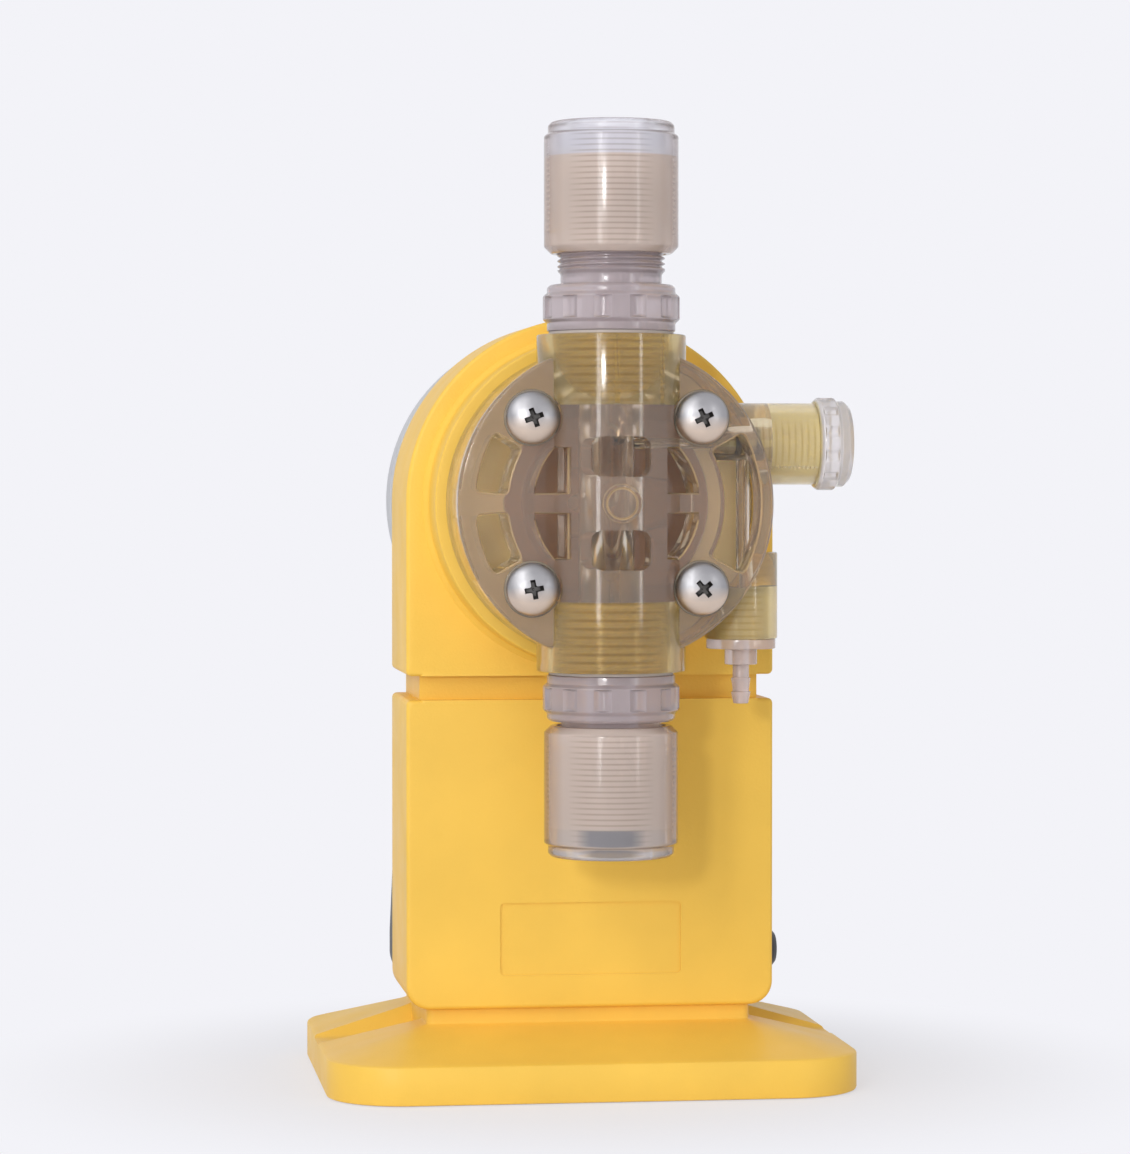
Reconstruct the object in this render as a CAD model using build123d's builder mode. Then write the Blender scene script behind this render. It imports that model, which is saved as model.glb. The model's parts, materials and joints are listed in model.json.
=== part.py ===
"""Solenoid-driven diaphragm metering pump with a clear liquid end.

Frame: millimetres, +Z up, the liquid end faces -Y. The origin is on the underside of the foot,
midway between its two mounting slots. Depths are measured rearwards from the housing's front face.
"""

import os
from math import cos, radians, sin

from build123d import *

os.makedirs("parts", exist_ok=True)

# ---------------------------------------------------------------- driving dimensions
# Foot
FOOT_WIDTH = 126.0
FOOT_DEPTH = 100.5
FOOT_CORNER = 18.0
FOOT_RIM = 9.0
FOOT_RIM_EDGE = 1.2
FOOT_CROWN = 15.4
PEDESTAL_TOP = 19.4
PEDESTAL_INSET = 5.0
PEDESTAL_SETBACK = 3.0
VALLEY_FLOOR = 8.4
VALLEY_FLOOR_WIDTH = 13.0
VALLEY_TOP_WIDTH = 30.0
SLOT_EDGE = 9.0
SLOT_WIDTH = 6.0
SLOT_LENGTH = 10.0

# Housing
HOUSING_FRONT_Y = -28.8
HOUSING_HALF_WIDTH = 43.7
HOUSING_DEPTH = 38.0
HOUSING_WALL = 4.0
HOUSING_FRONT_WALL = 6.5
LOWER_BOX_TOP = 92.3
GROOVE_HEIGHT = 5.7
GROOVE_DEPTH = 3.4
BOX_CORNER = 5.5
LIP_CORNER = 1.2
HOUSING_FRONT_EDGE = 1.0
LABEL_WIDTH = 43.0
LABEL_HEIGHT = 17.1
LABEL_CENTRE_Z = 35.75
LABEL_RECESS = 0.4
BOSS_RADIUS = 38.5
BOSS_LENGTH = 16.0

# Rear cover, dial bezel and controls
GASKET = 1.0
COVER_DEPTH = 21.0
COVER_STEP = 2.2
COVER_WALL = 3.0
COVER_REAR_EDGE = 3.0
RIB_PROUD = 1.3
RIB_LOW = 22.0
RIB_HIGH = 60.0
BEZEL_OVERHANG = 0.9
BEZEL_TAPER = 2.0
BEZEL_LENGTH = 16.0
BEZEL_STRAIGHT = 10.0
BEZEL_WELL_RADIUS = 23.0
BEZEL_WELL_DEPTH = 9.0
STROKE_KNOB_RADIUS = 17.0
STROKE_KNOB_LENGTH = 14.0
STROKE_KNOB_GRIPS = 12
SPEED_KNOB_RADIUS = 8.5
SPEED_KNOB_LENGTH = 9.0
SPEED_KNOB_GRIPS = 10
SPEED_KNOB_Z = 66.0
GLAND_RADIUS = 6.5
GLAND_LENGTH = 10.6
GLAND_BOSS = 1.0
CABLE_RADIUS = 2.7
GLAND_Z = 27.0

# Liquid end
HEAD_AXIS_Z = 138.8
HEAD_RADIUS = 36.0
HEAD_THICKNESS = 26.5
TUBE_RADIUS = 17.0
TUBE_GAP = 0.3
TUBE_HALF_LENGTH = 38.2
PORT_THREAD_RADIUS = 13.5
PORT_DEPTH = 16.0
PASSAGE_RADIUS = 5.0
CROSS_PASSAGE_RADIUS = 3.0
HEAD_SCREW_OFFSET = 19.25
DIAPHRAGM_RADIUS = 23.4
DIAPHRAGM_THICKNESS = 3.0
CHAMBER_RADIUS = 19.7
CHAMBER_DEPTH = 3.2
ARM_DEPTH = -25.8
BLEED_ARM_RISE = 13.6
BLEED_ARM_RADIUS = 9.4
BLEED_ARM_END = 48.2
BLEED_THREAD_RADIUS = 7.2
BLEED_THREAD_LENGTH = 10.9
BLEED_BORE_RADIUS = 4.0
BLEED_BORE_START = 24.0
BLEED_DRILL_RADIUS = 1.2
RETURN_X = 31.3
RETURN_ARM_RADIUS = 8.4
RETURN_ARM_TOP = 127.5
RETURN_ARM_BOTTOM = 107.6
RETURN_THREAD_RADIUS = 6.5
RETURN_CHANNEL_RADIUS = 1.6

# Valves and coupling nuts, the same at both ports
COLLAR_RADIUS = 15.55
COLLAR_TIER_RADIUS = 14.6
COLLAR_HEIGHT = 10.5
COLLAR_LUGS = 12
NECK_RADIUS = 12.25
NECK_ROOT_RADIUS = 11.5
NECK_LENGTH = 24.0
VALVE_BORE_RADIUS = 4.5
BALL_CHAMBER_RADIUS = 7.0
BALL_RADIUS = 5.0
BALL_LIFT = 1.5
SEAT_HEIGHT = 4.0
SEAT_BORE_RADIUS = 3.5
BODY_SEAL = 0.8
NUT_RADIUS = 15.3
NUT_LENGTH = 29.9
NUT_LIP_RADIUS = 14.4
NUT_LIP_HEIGHT = 3.2
NUT_HOLE_RADIUS = 9.0
NUT_END_WALL = 3.1
FERRULE_HEIGHT = 3.5
UPPER_NUT_BACKED_OFF = 6.0
NUT_CHAMFER = 1.6

# Drive
STROKE = 1.25
YOKE_CLEARANCE = 0.35
YOKE_WALL = 3.5
YOKE_FRONT_PLATE = 4.0
YOKE_LENGTH = 39.0
YOKE_REAR_PLATE = 3.0
PLUNGER_RADIUS = 12.1
PLUNGER_LENGTH = 22.0
POLE_LENGTH = 9.5
SHAFT_RADIUS = 4.0
SPRING_RADIUS = 5.8
SPRING_WIRE = 1.2
SPRING_TURNS = 5
BUSH_WALL = 2.0

# Screws
BASE_SCREW_RADIUS = 2.5
COVER_SCREW_RADIUS = 2.0
HEAD_SCREW_RADIUS = 3.0
HEAD_SCREW_HEAD_RADIUS = 6.0
HEAD_SCREW_HEAD_HEIGHT = 4.0
HEAD_SCREW_LENGTH = 38.0
HEAD_WASHER_RADIUS = 6.4
HEAD_WASHER = 0.4

# Clearances
RUNNING = 0.05
LOOSE = 0.3
THREAD_GAP = 0.2

# ---------------------------------------------------------------- derived places
SLOT_SPACING = FOOT_WIDTH - 2 * SLOT_EDGE
UPPER_BODY_BOTTOM = LOWER_BOX_TOP + GROOVE_HEIGHT
COVER_HALF_WIDTH = HOUSING_HALF_WIDTH - COVER_STEP
COVER_INSIDE = COVER_STEP + COVER_WALL
COVER_FRONT = HOUSING_DEPTH + GASKET
COVER_REAR = COVER_FRONT + COVER_DEPTH
HEAD_REAR = -BOSS_LENGTH
HEAD_FRONT = HEAD_REAR - HEAD_THICKNESS
TUBE_DEPTH = HEAD_REAR - TUBE_GAP - TUBE_RADIUS
TUBE_Y = HOUSING_FRONT_Y + TUBE_DEPTH
ARM_Y = HOUSING_FRONT_Y + ARM_DEPTH
BLEED_Z = HEAD_AXIS_Z + BLEED_ARM_RISE
PORT_TOP = HEAD_AXIS_Z + TUBE_HALF_LENGTH
PORT_BOTTOM = HEAD_AXIS_Z - TUBE_HALF_LENGTH


def facing(depth):
    """Plane at a depth behind the housing front, looking forward: X across, Z up."""
    return Plane(origin=(0, HOUSING_FRONT_Y + depth, 0), x_dir=(1, 0, 0), z_dir=(0, -1, 0))


def upright(x, y):
    """Turning plane of a vertical axis: radius across, height up."""
    return Plane(origin=(x, y, 0), x_dir=(1, 0, 0), z_dir=(0, -1, 0))


def along_depth(x, z):
    """Turning plane of an axis that runs front to back: radius across, depth along."""
    return Plane(origin=(x, HOUSING_FRONT_Y, z), x_dir=(1, 0, 0), z_dir=(0, 0, 1))


def along_width(y, z):
    """Turning plane of an axis that runs left to right: radius across, X along."""
    return Plane(origin=(0, y, z), x_dir=(0, 0, 1), z_dir=(0, 1, 0))


HEAD_AXIS = along_depth(0, HEAD_AXIS_Z)
TUBE_AXIS = upright(0, TUBE_Y)
BLEED_AXIS = along_width(ARM_Y, BLEED_Z)
RETURN_AXIS = upright(RETURN_X, ARM_Y)


def turn(station, points, mode=Mode.ADD):
    """Revolve an outline of (radius, place along the axis) points about a station."""
    with BuildSketch(station) as outline:
        with BuildLine():
            Polyline(*points, close=True)
        make_face()
    revolve(outline.sketch, axis=Axis(station.origin, station.y_dir), mode=mode)


def rod(station, radius, start, end, mode=Mode.ADD):
    """Plain round bar along a station's axis."""
    turn(station, [(0, start), (radius, start), (radius, end), (0, end)], mode)


def bore(station, radius, start, end):
    """Plain round hole along a station's axis."""
    rod(station, radius, start, end, Mode.SUBTRACT)


def ring(station, inner, outer, start, end):
    """Plain ring about a station's axis."""
    turn(station, [(inner, start), (outer, start), (outer, end), (inner, end)])


def finish(builder, name):
    """Label a piece and write its STEP file."""
    builder.part.label = name
    export_step(builder.part, f"parts/{name}.step")


def housing_face(inset=0.0):
    """Front outline of the housing: lower box, waist groove and arched upper body."""
    half = HOUSING_HALF_WIDTH - inset
    bottom = PEDESTAL_TOP + inset
    groove = (LOWER_BOX_TOP - inset, UPPER_BODY_BOTTOM + inset)
    with BuildSketch() as outline:
        with Locations((0, (bottom + groove[0]) / 2)):
            Rectangle(2 * half, groove[0] - bottom)
        with Locations((0, (groove[0] + groove[1]) / 2)):
            Rectangle(2 * (half - GROOVE_DEPTH), groove[1] - groove[0] + 2)
        with Locations((0, (groove[1] + HEAD_AXIS_Z) / 2)):
            Rectangle(2 * half, HEAD_AXIS_Z - groove[1])
        with Locations((0, HEAD_AXIS_Z)):
            Circle(half)
        corners = outline.vertices().filter_by(lambda v: abs(v.X) > half - GROOVE_DEPTH / 2)
        fillet(corners.filter_by(lambda v: v.Y < bottom + 1), BOX_CORNER)
        fillet(corners.filter_by(lambda v: groove[0] - 1 < v.Y < groove[1] + 1), LIP_CORNER)
    return outline.sketch


def slab(face, front, rear, mode=Mode.ADD):
    """Extrude an outline drawn in X and Z between two depths."""
    extrude(facing(rear) * face, amount=rear - front, mode=mode)


# ---------------------------------------------------------------- foot
PEDESTAL_WIDTH = 2 * (HOUSING_HALF_WIDTH - PEDESTAL_INSET)
PEDESTAL_FRONT = PEDESTAL_SETBACK
PEDESTAL_REAR = COVER_REAR - PEDESTAL_SETBACK
PEDESTAL_DEPTH = PEDESTAL_REAR - PEDESTAL_FRONT
PEDESTAL_Y = HOUSING_FRONT_Y + (PEDESTAL_FRONT + PEDESTAL_REAR) / 2
PEDESTAL_CORNER = 2.0
SLOT_SPOTS = [(-SLOT_SPACING / 2, 0), (SLOT_SPACING / 2, 0)]
BASE_SCREW_X = 24.0
BASE_SCREW_DEPTHS = (HOUSING_FRONT_WALL + 6.0, HOUSING_DEPTH - 7.0)
BASE_SCREW_HEAD_RADIUS = 2 * BASE_SCREW_RADIUS - 0.5
BASE_SCREW_HEAD_HEIGHT = BASE_SCREW_RADIUS
BASE_SCREW_SINK = 5.0
BASE_SCREW_BITE = 10.0
BASE_SCREW_TOP = PEDESTAL_TOP + BASE_SCREW_BITE
BASE_SCREW_SPOTS = [
    (x, HOUSING_FRONT_Y + depth) for x in (-BASE_SCREW_X, BASE_SCREW_X) for depth in BASE_SCREW_DEPTHS
]

with BuildPart() as base_plate:
    with BuildSketch() as foot_outline:
        RectangleRounded(FOOT_WIDTH, FOOT_DEPTH, FOOT_CORNER)
    extrude(amount=FOOT_RIM)
    with BuildSketch(Plane.XY.offset(FOOT_RIM)):
        RectangleRounded(
            FOOT_WIDTH - 2 * FOOT_RIM_EDGE, FOOT_DEPTH - 2 * FOOT_RIM_EDGE, FOOT_CORNER - FOOT_RIM_EDGE
        )
    with BuildSketch(Plane.XY.offset(FOOT_CROWN)):
        with Locations((0, PEDESTAL_Y)):
            RectangleRounded(PEDESTAL_WIDTH, PEDESTAL_DEPTH, PEDESTAL_CORNER)
    loft()
    # transverse valleys left and right of the pedestal, open to the sides
    with BuildSketch(Plane.YZ.offset(PEDESTAL_WIDTH / 2)) as valley:
        with BuildLine():
            Polyline(
                (-VALLEY_FLOOR_WIDTH / 2, VALLEY_FLOOR),
                (VALLEY_FLOOR_WIDTH / 2, VALLEY_FLOOR),
                (VALLEY_TOP_WIDTH / 2, FOOT_CROWN + 1),
                (-VALLEY_TOP_WIDTH / 2, FOOT_CROWN + 1),
                close=True,
            )
        make_face()
    extrude(amount=FOOT_WIDTH / 2, mode=Mode.SUBTRACT)
    mirrored_valley = mirror(valley.sketch, about=Plane.YZ, mode=Mode.PRIVATE)
    extrude(mirrored_valley, amount=FOOT_WIDTH / 2, dir=(-1, 0, 0), mode=Mode.SUBTRACT)
    with BuildSketch(Plane.XY.offset(FOOT_RIM)):
        with Locations((0, PEDESTAL_Y)):
            RectangleRounded(PEDESTAL_WIDTH, PEDESTAL_DEPTH, PEDESTAL_CORNER)
    extrude(amount=PEDESTAL_TOP - FOOT_RIM)
    with BuildSketch() as slots:
        with Locations(*SLOT_SPOTS):
            SlotOverall(SLOT_LENGTH, SLOT_WIDTH)
    extrude(amount=FOOT_CROWN, mode=Mode.SUBTRACT)
    for x, y in BASE_SCREW_SPOTS:
        bore(upright(x, y), BASE_SCREW_RADIUS + LOOSE, 0, PEDESTAL_TOP)
        bore(upright(x, y), BASE_SCREW_HEAD_RADIUS + LOOSE, 0, BASE_SCREW_SINK)
finish(base_plate, "base_plate")

with BuildPart() as base_screws:
    for x, y in BASE_SCREW_SPOTS:
        head_top = BASE_SCREW_SINK
        rod(upright(x, y), BASE_SCREW_HEAD_RADIUS, head_top - BASE_SCREW_HEAD_HEIGHT, head_top)
        rod(upright(x, y), BASE_SCREW_RADIUS, head_top, BASE_SCREW_TOP)
        with BuildSketch(Plane.XY.offset(head_top - BASE_SCREW_HEAD_HEIGHT)) as socket:
            with Locations((x, y)):
                RegularPolygon(BASE_SCREW_RADIUS * 0.8, 6)
        extrude(socket.sketch, amount=BASE_SCREW_HEAD_HEIGHT * 0.6, mode=Mode.SUBTRACT)
finish(base_screws, "base_screws")

# ---------------------------------------------------------------- drive housing
COVER_HEAD_RADIUS = 1.8 * COVER_SCREW_RADIUS
COVER_PILLAR_RADIUS = COVER_HEAD_RADIUS + 1.0
COVER_PILLAR_EDGE = 0.95
COVER_SCREW_Z = 46.0
COVER_SCREW_X = COVER_HALF_WIDTH - COVER_PILLAR_RADIUS - COVER_PILLAR_EDGE
ARCH_SCREW_OFFSET = COVER_SCREW_X * cos(radians(45))
COVER_SCREW_SPOTS = [(x, COVER_SCREW_Z) for x in (-COVER_SCREW_X, COVER_SCREW_X)]
COVER_SCREW_SPOTS += [(x, HEAD_AXIS_Z + ARCH_SCREW_OFFSET) for x in (-ARCH_SCREW_OFFSET, ARCH_SCREW_OFFSET)]
COVER_SCREW_BITE = 14.0
COVER_SCREW_FRONT = HOUSING_DEPTH - COVER_SCREW_BITE
HEAD_SCREW_SPOTS = [
    (x, HEAD_AXIS_Z + z)
    for x in (-HEAD_SCREW_OFFSET, HEAD_SCREW_OFFSET)
    for z in (-HEAD_SCREW_OFFSET, HEAD_SCREW_OFFSET)
]
HEAD_SCREW_TIP = HEAD_FRONT - HEAD_WASHER + HEAD_SCREW_LENGTH
BACKING_THICKNESS = 5.0
BACKING_RADIUS = BOSS_RADIUS - 4.0
BUSH_RADIUS = SHAFT_RADIUS + BUSH_WALL

with BuildPart() as drive_housing:
    slab(housing_face(), 0, HOUSING_DEPTH)
    front_edges = drive_housing.faces().sort_by(Axis.Y)[0].outer_wire().edges()
    fillet(front_edges, HOUSING_FRONT_EDGE)
    # the waist groove runs on across the front face
    with BuildSketch(facing(GROOVE_DEPTH)) as front_groove:
        with Locations((0, (LOWER_BOX_TOP + UPPER_BODY_BOTTOM) / 2)):
            Rectangle(2 * HOUSING_HALF_WIDTH, GROOVE_HEIGHT)
    extrude(front_groove.sketch, amount=GROOVE_DEPTH, mode=Mode.SUBTRACT)
    slab(housing_face(HOUSING_WALL), HOUSING_FRONT_WALL, HOUSING_DEPTH, Mode.SUBTRACT)
    # raised round seat of the liquid end
    rod(HEAD_AXIS, BOSS_RADIUS, HEAD_REAR, 0)
    bore(HEAD_AXIS, BACKING_RADIUS + RUNNING, HEAD_REAR, HEAD_REAR + BACKING_THICKNESS)
    bore(HEAD_AXIS, BUSH_RADIUS + RUNNING, HEAD_REAR, HOUSING_FRONT_WALL)
    for x, z in HEAD_SCREW_SPOTS:
        bore(along_depth(x, z), HEAD_SCREW_RADIUS + RUNNING, HEAD_REAR, HEAD_SCREW_TIP + 1)
    # pillars for the cover screws, and floor bosses for the foot screws
    for x, z in COVER_SCREW_SPOTS:
        rod(along_depth(x, z), COVER_PILLAR_RADIUS, HOUSING_FRONT_WALL, HOUSING_DEPTH)
        bore(along_depth(x, z), COVER_SCREW_RADIUS + RUNNING, COVER_SCREW_FRONT - 1, HOUSING_DEPTH)
    for x, y in BASE_SCREW_SPOTS:
        rod(upright(x, y), 2 * BASE_SCREW_RADIUS, PEDESTAL_TOP + 1, BASE_SCREW_TOP + 2)
        bore(upright(x, y), BASE_SCREW_RADIUS + RUNNING, PEDESTAL_TOP, BASE_SCREW_TOP + 1)
    with BuildSketch(facing(LABEL_RECESS)) as label_recess:
        with Locations((0, LABEL_CENTRE_Z)):
            RectangleRounded(LABEL_WIDTH, LABEL_HEIGHT, 1)
    extrude(label_recess.sketch, amount=LABEL_RECESS, mode=Mode.SUBTRACT)
finish(drive_housing, "drive_housing")

# ---------------------------------------------------------------- rear cover
STROKE_SLEEVE_RADIUS = 5.0
SPEED_SHAFT_RADIUS = 3.0
COVER_HEAD_SINK = 3.0
GLAND_DEPTH = COVER_FRONT + COVER_DEPTH / 2
GLAND_AXIS = along_width(HOUSING_FRONT_Y + GLAND_DEPTH, GLAND_Z)
GLAND_THREAD_RADIUS = GLAND_RADIUS - 1.5
BOARD_SETBACK = 27.0
BOARD_DEPTH = COVER_REAR - BOARD_SETBACK
BOARD_THICKNESS = 1.6
BOARD_WIDTH = 56.0
BOARD_BOTTOM = 40.0
BOARD_TOP = 88.0
BOARD_POST_RADIUS = 3.0
BOARD_POST_EDGE = 4.0
BOARD_POST_SPOTS = [
    (x, z)
    for x in (-BOARD_WIDTH / 2 + BOARD_POST_EDGE, BOARD_WIDTH / 2 - BOARD_POST_EDGE)
    for z in (BOARD_BOTTOM + BOARD_POST_EDGE, BOARD_TOP - BOARD_POST_EDGE)
]
PILLAR_SKIN = 1.0
RIB_FULL = (RIB_LOW + 4.0, RIB_LOW + 10.0)
RIB_DEPTHS = (COVER_FRONT + 2.0, COVER_REAR - 4.0)
GLAND_SEAT_X = COVER_HALF_WIDTH + RIB_PROUD
GLAND_INNER_X = COVER_HALF_WIDTH - COVER_WALL - 3.0

with BuildPart() as housing_gasket:
    slab(housing_face(COVER_STEP), HOUSING_DEPTH, COVER_FRONT)
    slab(housing_face(COVER_INSIDE), HOUSING_DEPTH, COVER_FRONT, Mode.SUBTRACT)
finish(housing_gasket, "housing_gasket")

with BuildPart() as rear_cover:
    slab(housing_face(COVER_STEP), COVER_FRONT, COVER_REAR)
    fillet(rear_cover.faces().sort_by(Axis.Y)[-1].outer_wire().edges(), COVER_REAR_EDGE)
    # low flared rib on each side, and the round boss that the cable gland seats on
    with BuildSketch(facing(RIB_DEPTHS[1])) as side_ribs:
        with BuildLine():
            Polyline(
                (COVER_HALF_WIDTH - COVER_WALL / 2, RIB_LOW),
                (COVER_HALF_WIDTH, RIB_LOW),
                (COVER_HALF_WIDTH + RIB_PROUD, RIB_FULL[0]),
                (COVER_HALF_WIDTH + RIB_PROUD, RIB_FULL[1]),
                (COVER_HALF_WIDTH, RIB_HIGH),
                (COVER_HALF_WIDTH - COVER_WALL / 2, RIB_HIGH),
                close=True,
            )
        make_face()
        mirror(about=Plane.YZ)
    extrude(side_ribs.sketch, amount=RIB_DEPTHS[1] - RIB_DEPTHS[0])
    rod(GLAND_AXIS, GLAND_RADIUS + GLAND_BOSS, COVER_HALF_WIDTH - COVER_WALL / 2, GLAND_SEAT_X)
    slab(housing_face(COVER_INSIDE), COVER_FRONT, COVER_REAR - COVER_WALL, Mode.SUBTRACT)
    for x, z in COVER_SCREW_SPOTS:
        rod(along_depth(x, z), COVER_PILLAR_RADIUS, COVER_FRONT, COVER_REAR - PILLAR_SKIN)
        bore(along_depth(x, z), COVER_SCREW_RADIUS + LOOSE, COVER_FRONT, COVER_REAR)
        bore(along_depth(x, z), COVER_HEAD_RADIUS + LOOSE, COVER_REAR - COVER_HEAD_SINK, COVER_REAR)
    for x, z in BOARD_POST_SPOTS:
        rod(along_depth(x, z), BOARD_POST_RADIUS, BOARD_DEPTH + BOARD_THICKNESS, COVER_REAR - PILLAR_SKIN)
    bore(HEAD_AXIS, STROKE_SLEEVE_RADIUS + RUNNING, COVER_FRONT, COVER_REAR)
    bore(along_depth(0, SPEED_KNOB_Z), SPEED_SHAFT_RADIUS + RUNNING, COVER_FRONT, COVER_REAR)
    bore(GLAND_AXIS, GLAND_THREAD_RADIUS + RUNNING, 0, GLAND_SEAT_X)
finish(rear_cover, "rear_cover")

with BuildPart() as cover_screws:
    for x, z in COVER_SCREW_SPOTS:
        seat = COVER_REAR - COVER_HEAD_SINK
        rod(along_depth(x, z), COVER_SCREW_RADIUS, COVER_SCREW_FRONT, seat)
        rod(along_depth(x, z), COVER_HEAD_RADIUS, seat, COVER_REAR - 0.5)
finish(cover_screws, "cover_screws")

BEZEL_RADIUS = COVER_HALF_WIDTH + BEZEL_OVERHANG
BEZEL_REAR = COVER_REAR + BEZEL_LENGTH
BEZEL_FLOOR = BEZEL_REAR - BEZEL_WELL_DEPTH
with BuildPart() as dial_bezel:
    turn(
        HEAD_AXIS,
        [
            (0, COVER_REAR),
            (BEZEL_RADIUS, COVER_REAR),
            (BEZEL_RADIUS, COVER_REAR + BEZEL_STRAIGHT),
            (BEZEL_RADIUS - BEZEL_TAPER, BEZEL_REAR - BEZEL_TAPER),
            (BEZEL_RADIUS - 2 * BEZEL_TAPER, BEZEL_REAR),
            (BEZEL_WELL_RADIUS + 1, BEZEL_REAR),
            (BEZEL_WELL_RADIUS, BEZEL_REAR - 1),
            (BEZEL_WELL_RADIUS, BEZEL_FLOOR),
            (0, BEZEL_FLOOR),
        ],
    )
    bore(HEAD_AXIS, STROKE_SLEEVE_RADIUS + LOOSE, COVER_REAR, BEZEL_FLOOR)
finish(dial_bezel, "dial_bezel")

# ---------------------------------------------------------------- rear controls
SLEEVE_REACH = 4.0
SLEEVE_FRONT = COVER_REAR - COVER_WALL - SLEEVE_REACH
KNOB_FRONT = BEZEL_FLOOR + LOOSE
KNOB_REAR = KNOB_FRONT + STROKE_KNOB_LENGTH
STOP_STEM_RADIUS = 3.0
STOP_PAD_RADIUS = 6.0
STOP_PAD = 2.0
STOP_STEM_BITE = 9.0
KNOB_END_WALL = 3.0
KNOB_SKIRT = 2.5
KNOB_DRAFT = 0.6
FLUTE_SHARE = 0.12


def grip_knob(station, radius, front, rear, grips, shaft_radius):
    """Round knob with a skirt, finger flutes and a blind hole for its shaft."""
    grip_front = front + KNOB_SKIRT + KNOB_DRAFT
    grip_radius = radius - 2 * KNOB_DRAFT
    turn(
        station,
        [
            (0, front),
            (radius, front),
            (radius, front + KNOB_SKIRT),
            (grip_radius, grip_front),
            (grip_radius - KNOB_DRAFT, rear - KNOB_DRAFT),
            (grip_radius - 2 * KNOB_DRAFT, rear),
            (0, rear),
        ],
    )
    grip_place = station.origin + station.y_dir * grip_front
    with BuildSketch(Plane(grip_place, x_dir=station.x_dir, z_dir=station.y_dir)) as flutes:
        with PolarLocations(grip_radius, grips):
            Circle(radius * FLUTE_SHARE)
    extrude(flutes.sketch, amount=rear - front, mode=Mode.SUBTRACT)
    bore(station, shaft_radius + RUNNING, front, rear - KNOB_END_WALL)


with BuildPart() as stroke_knob:
    grip_knob(HEAD_AXIS, STROKE_KNOB_RADIUS, KNOB_FRONT, KNOB_REAR, STROKE_KNOB_GRIPS, STROKE_SLEEVE_RADIUS)
finish(stroke_knob, "stroke_knob")

with BuildPart() as stroke_sleeve:
    rod(HEAD_AXIS, STROKE_SLEEVE_RADIUS, SLEEVE_FRONT, KNOB_REAR - KNOB_END_WALL)
    bore(HEAD_AXIS, STOP_STEM_RADIUS + RUNNING, SLEEVE_FRONT, KNOB_REAR - 2 * KNOB_END_WALL)
finish(stroke_sleeve, "stroke_sleeve")

SPEED_AXIS = along_depth(0, SPEED_KNOB_Z)
SPEED_KNOB_FRONT = COVER_REAR + LOOSE
SPEED_KNOB_REAR = SPEED_KNOB_FRONT + SPEED_KNOB_LENGTH
with BuildPart() as speed_knob:
    grip_knob(
        SPEED_AXIS, SPEED_KNOB_RADIUS, SPEED_KNOB_FRONT, SPEED_KNOB_REAR, SPEED_KNOB_GRIPS, SPEED_SHAFT_RADIUS
    )
finish(speed_knob, "speed_knob")

SPEED_POT_RADIUS = 8.0
SPEED_POT_LENGTH = 10.0
SPEED_POT_FLOOR = 2.0
POT_REAR = COVER_REAR - COVER_WALL
POT_FRONT = POT_REAR - SPEED_POT_LENGTH
with BuildPart() as speed_shaft:
    rod(SPEED_AXIS, SPEED_SHAFT_RADIUS, POT_FRONT + SPEED_POT_FLOOR + 1, SPEED_KNOB_REAR - KNOB_END_WALL)
finish(speed_shaft, "speed_shaft")

with BuildPart() as speed_pot:
    rod(SPEED_AXIS, SPEED_POT_RADIUS, POT_FRONT, POT_REAR)
    bore(SPEED_AXIS, SPEED_SHAFT_RADIUS + RUNNING, POT_FRONT + SPEED_POT_FLOOR, POT_REAR)
finish(speed_pot, "speed_pot")

TRANSFORMER = (24.0, 20.0)
TRANSFORMER_EDGE = 10.0
TRANSFORMER_RISE = 16.0
TRANSFORMER_SPOT = (TRANSFORMER_EDGE - BOARD_WIDTH / 2, BOARD_BOTTOM + TRANSFORMER_RISE)
CAPACITOR_RADIUS = 5.0
CAPACITOR_EDGES = (22.0, 10.0)
CAPACITOR_RISE = 14.0
CAPACITOR_SPOTS = [(BOARD_WIDTH / 2 - edge, BOARD_BOTTOM + CAPACITOR_RISE) for edge in CAPACITOR_EDGES]
TERMINALS = (22.0, 8.0)
TERMINALS_EDGE = 14.0
TERMINALS_DROP = 12.0
TERMINALS_SPOT = (BOARD_WIDTH / 2 - TERMINALS_EDGE, BOARD_TOP - TERMINALS_DROP)
COMPONENT_HEIGHT = 12.0
BOARD_CORNER = 1.5

with BuildPart() as circuit_board:
    with BuildSketch(facing(BOARD_DEPTH + BOARD_THICKNESS)) as board:
        with Locations((0, (BOARD_BOTTOM + BOARD_TOP) / 2)):
            RectangleRounded(BOARD_WIDTH, BOARD_TOP - BOARD_BOTTOM, BOARD_CORNER)
    extrude(board.sketch, amount=BOARD_THICKNESS)
    with BuildSketch(facing(BOARD_DEPTH)) as components:
        with Locations(TRANSFORMER_SPOT):
            Rectangle(*TRANSFORMER)
        with Locations(*CAPACITOR_SPOTS):
            Circle(CAPACITOR_RADIUS)
        with Locations(TERMINALS_SPOT):
            Rectangle(*TERMINALS)
    extrude(components.sketch, amount=COMPONENT_HEIGHT)
finish(circuit_board, "circuit_board")

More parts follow.
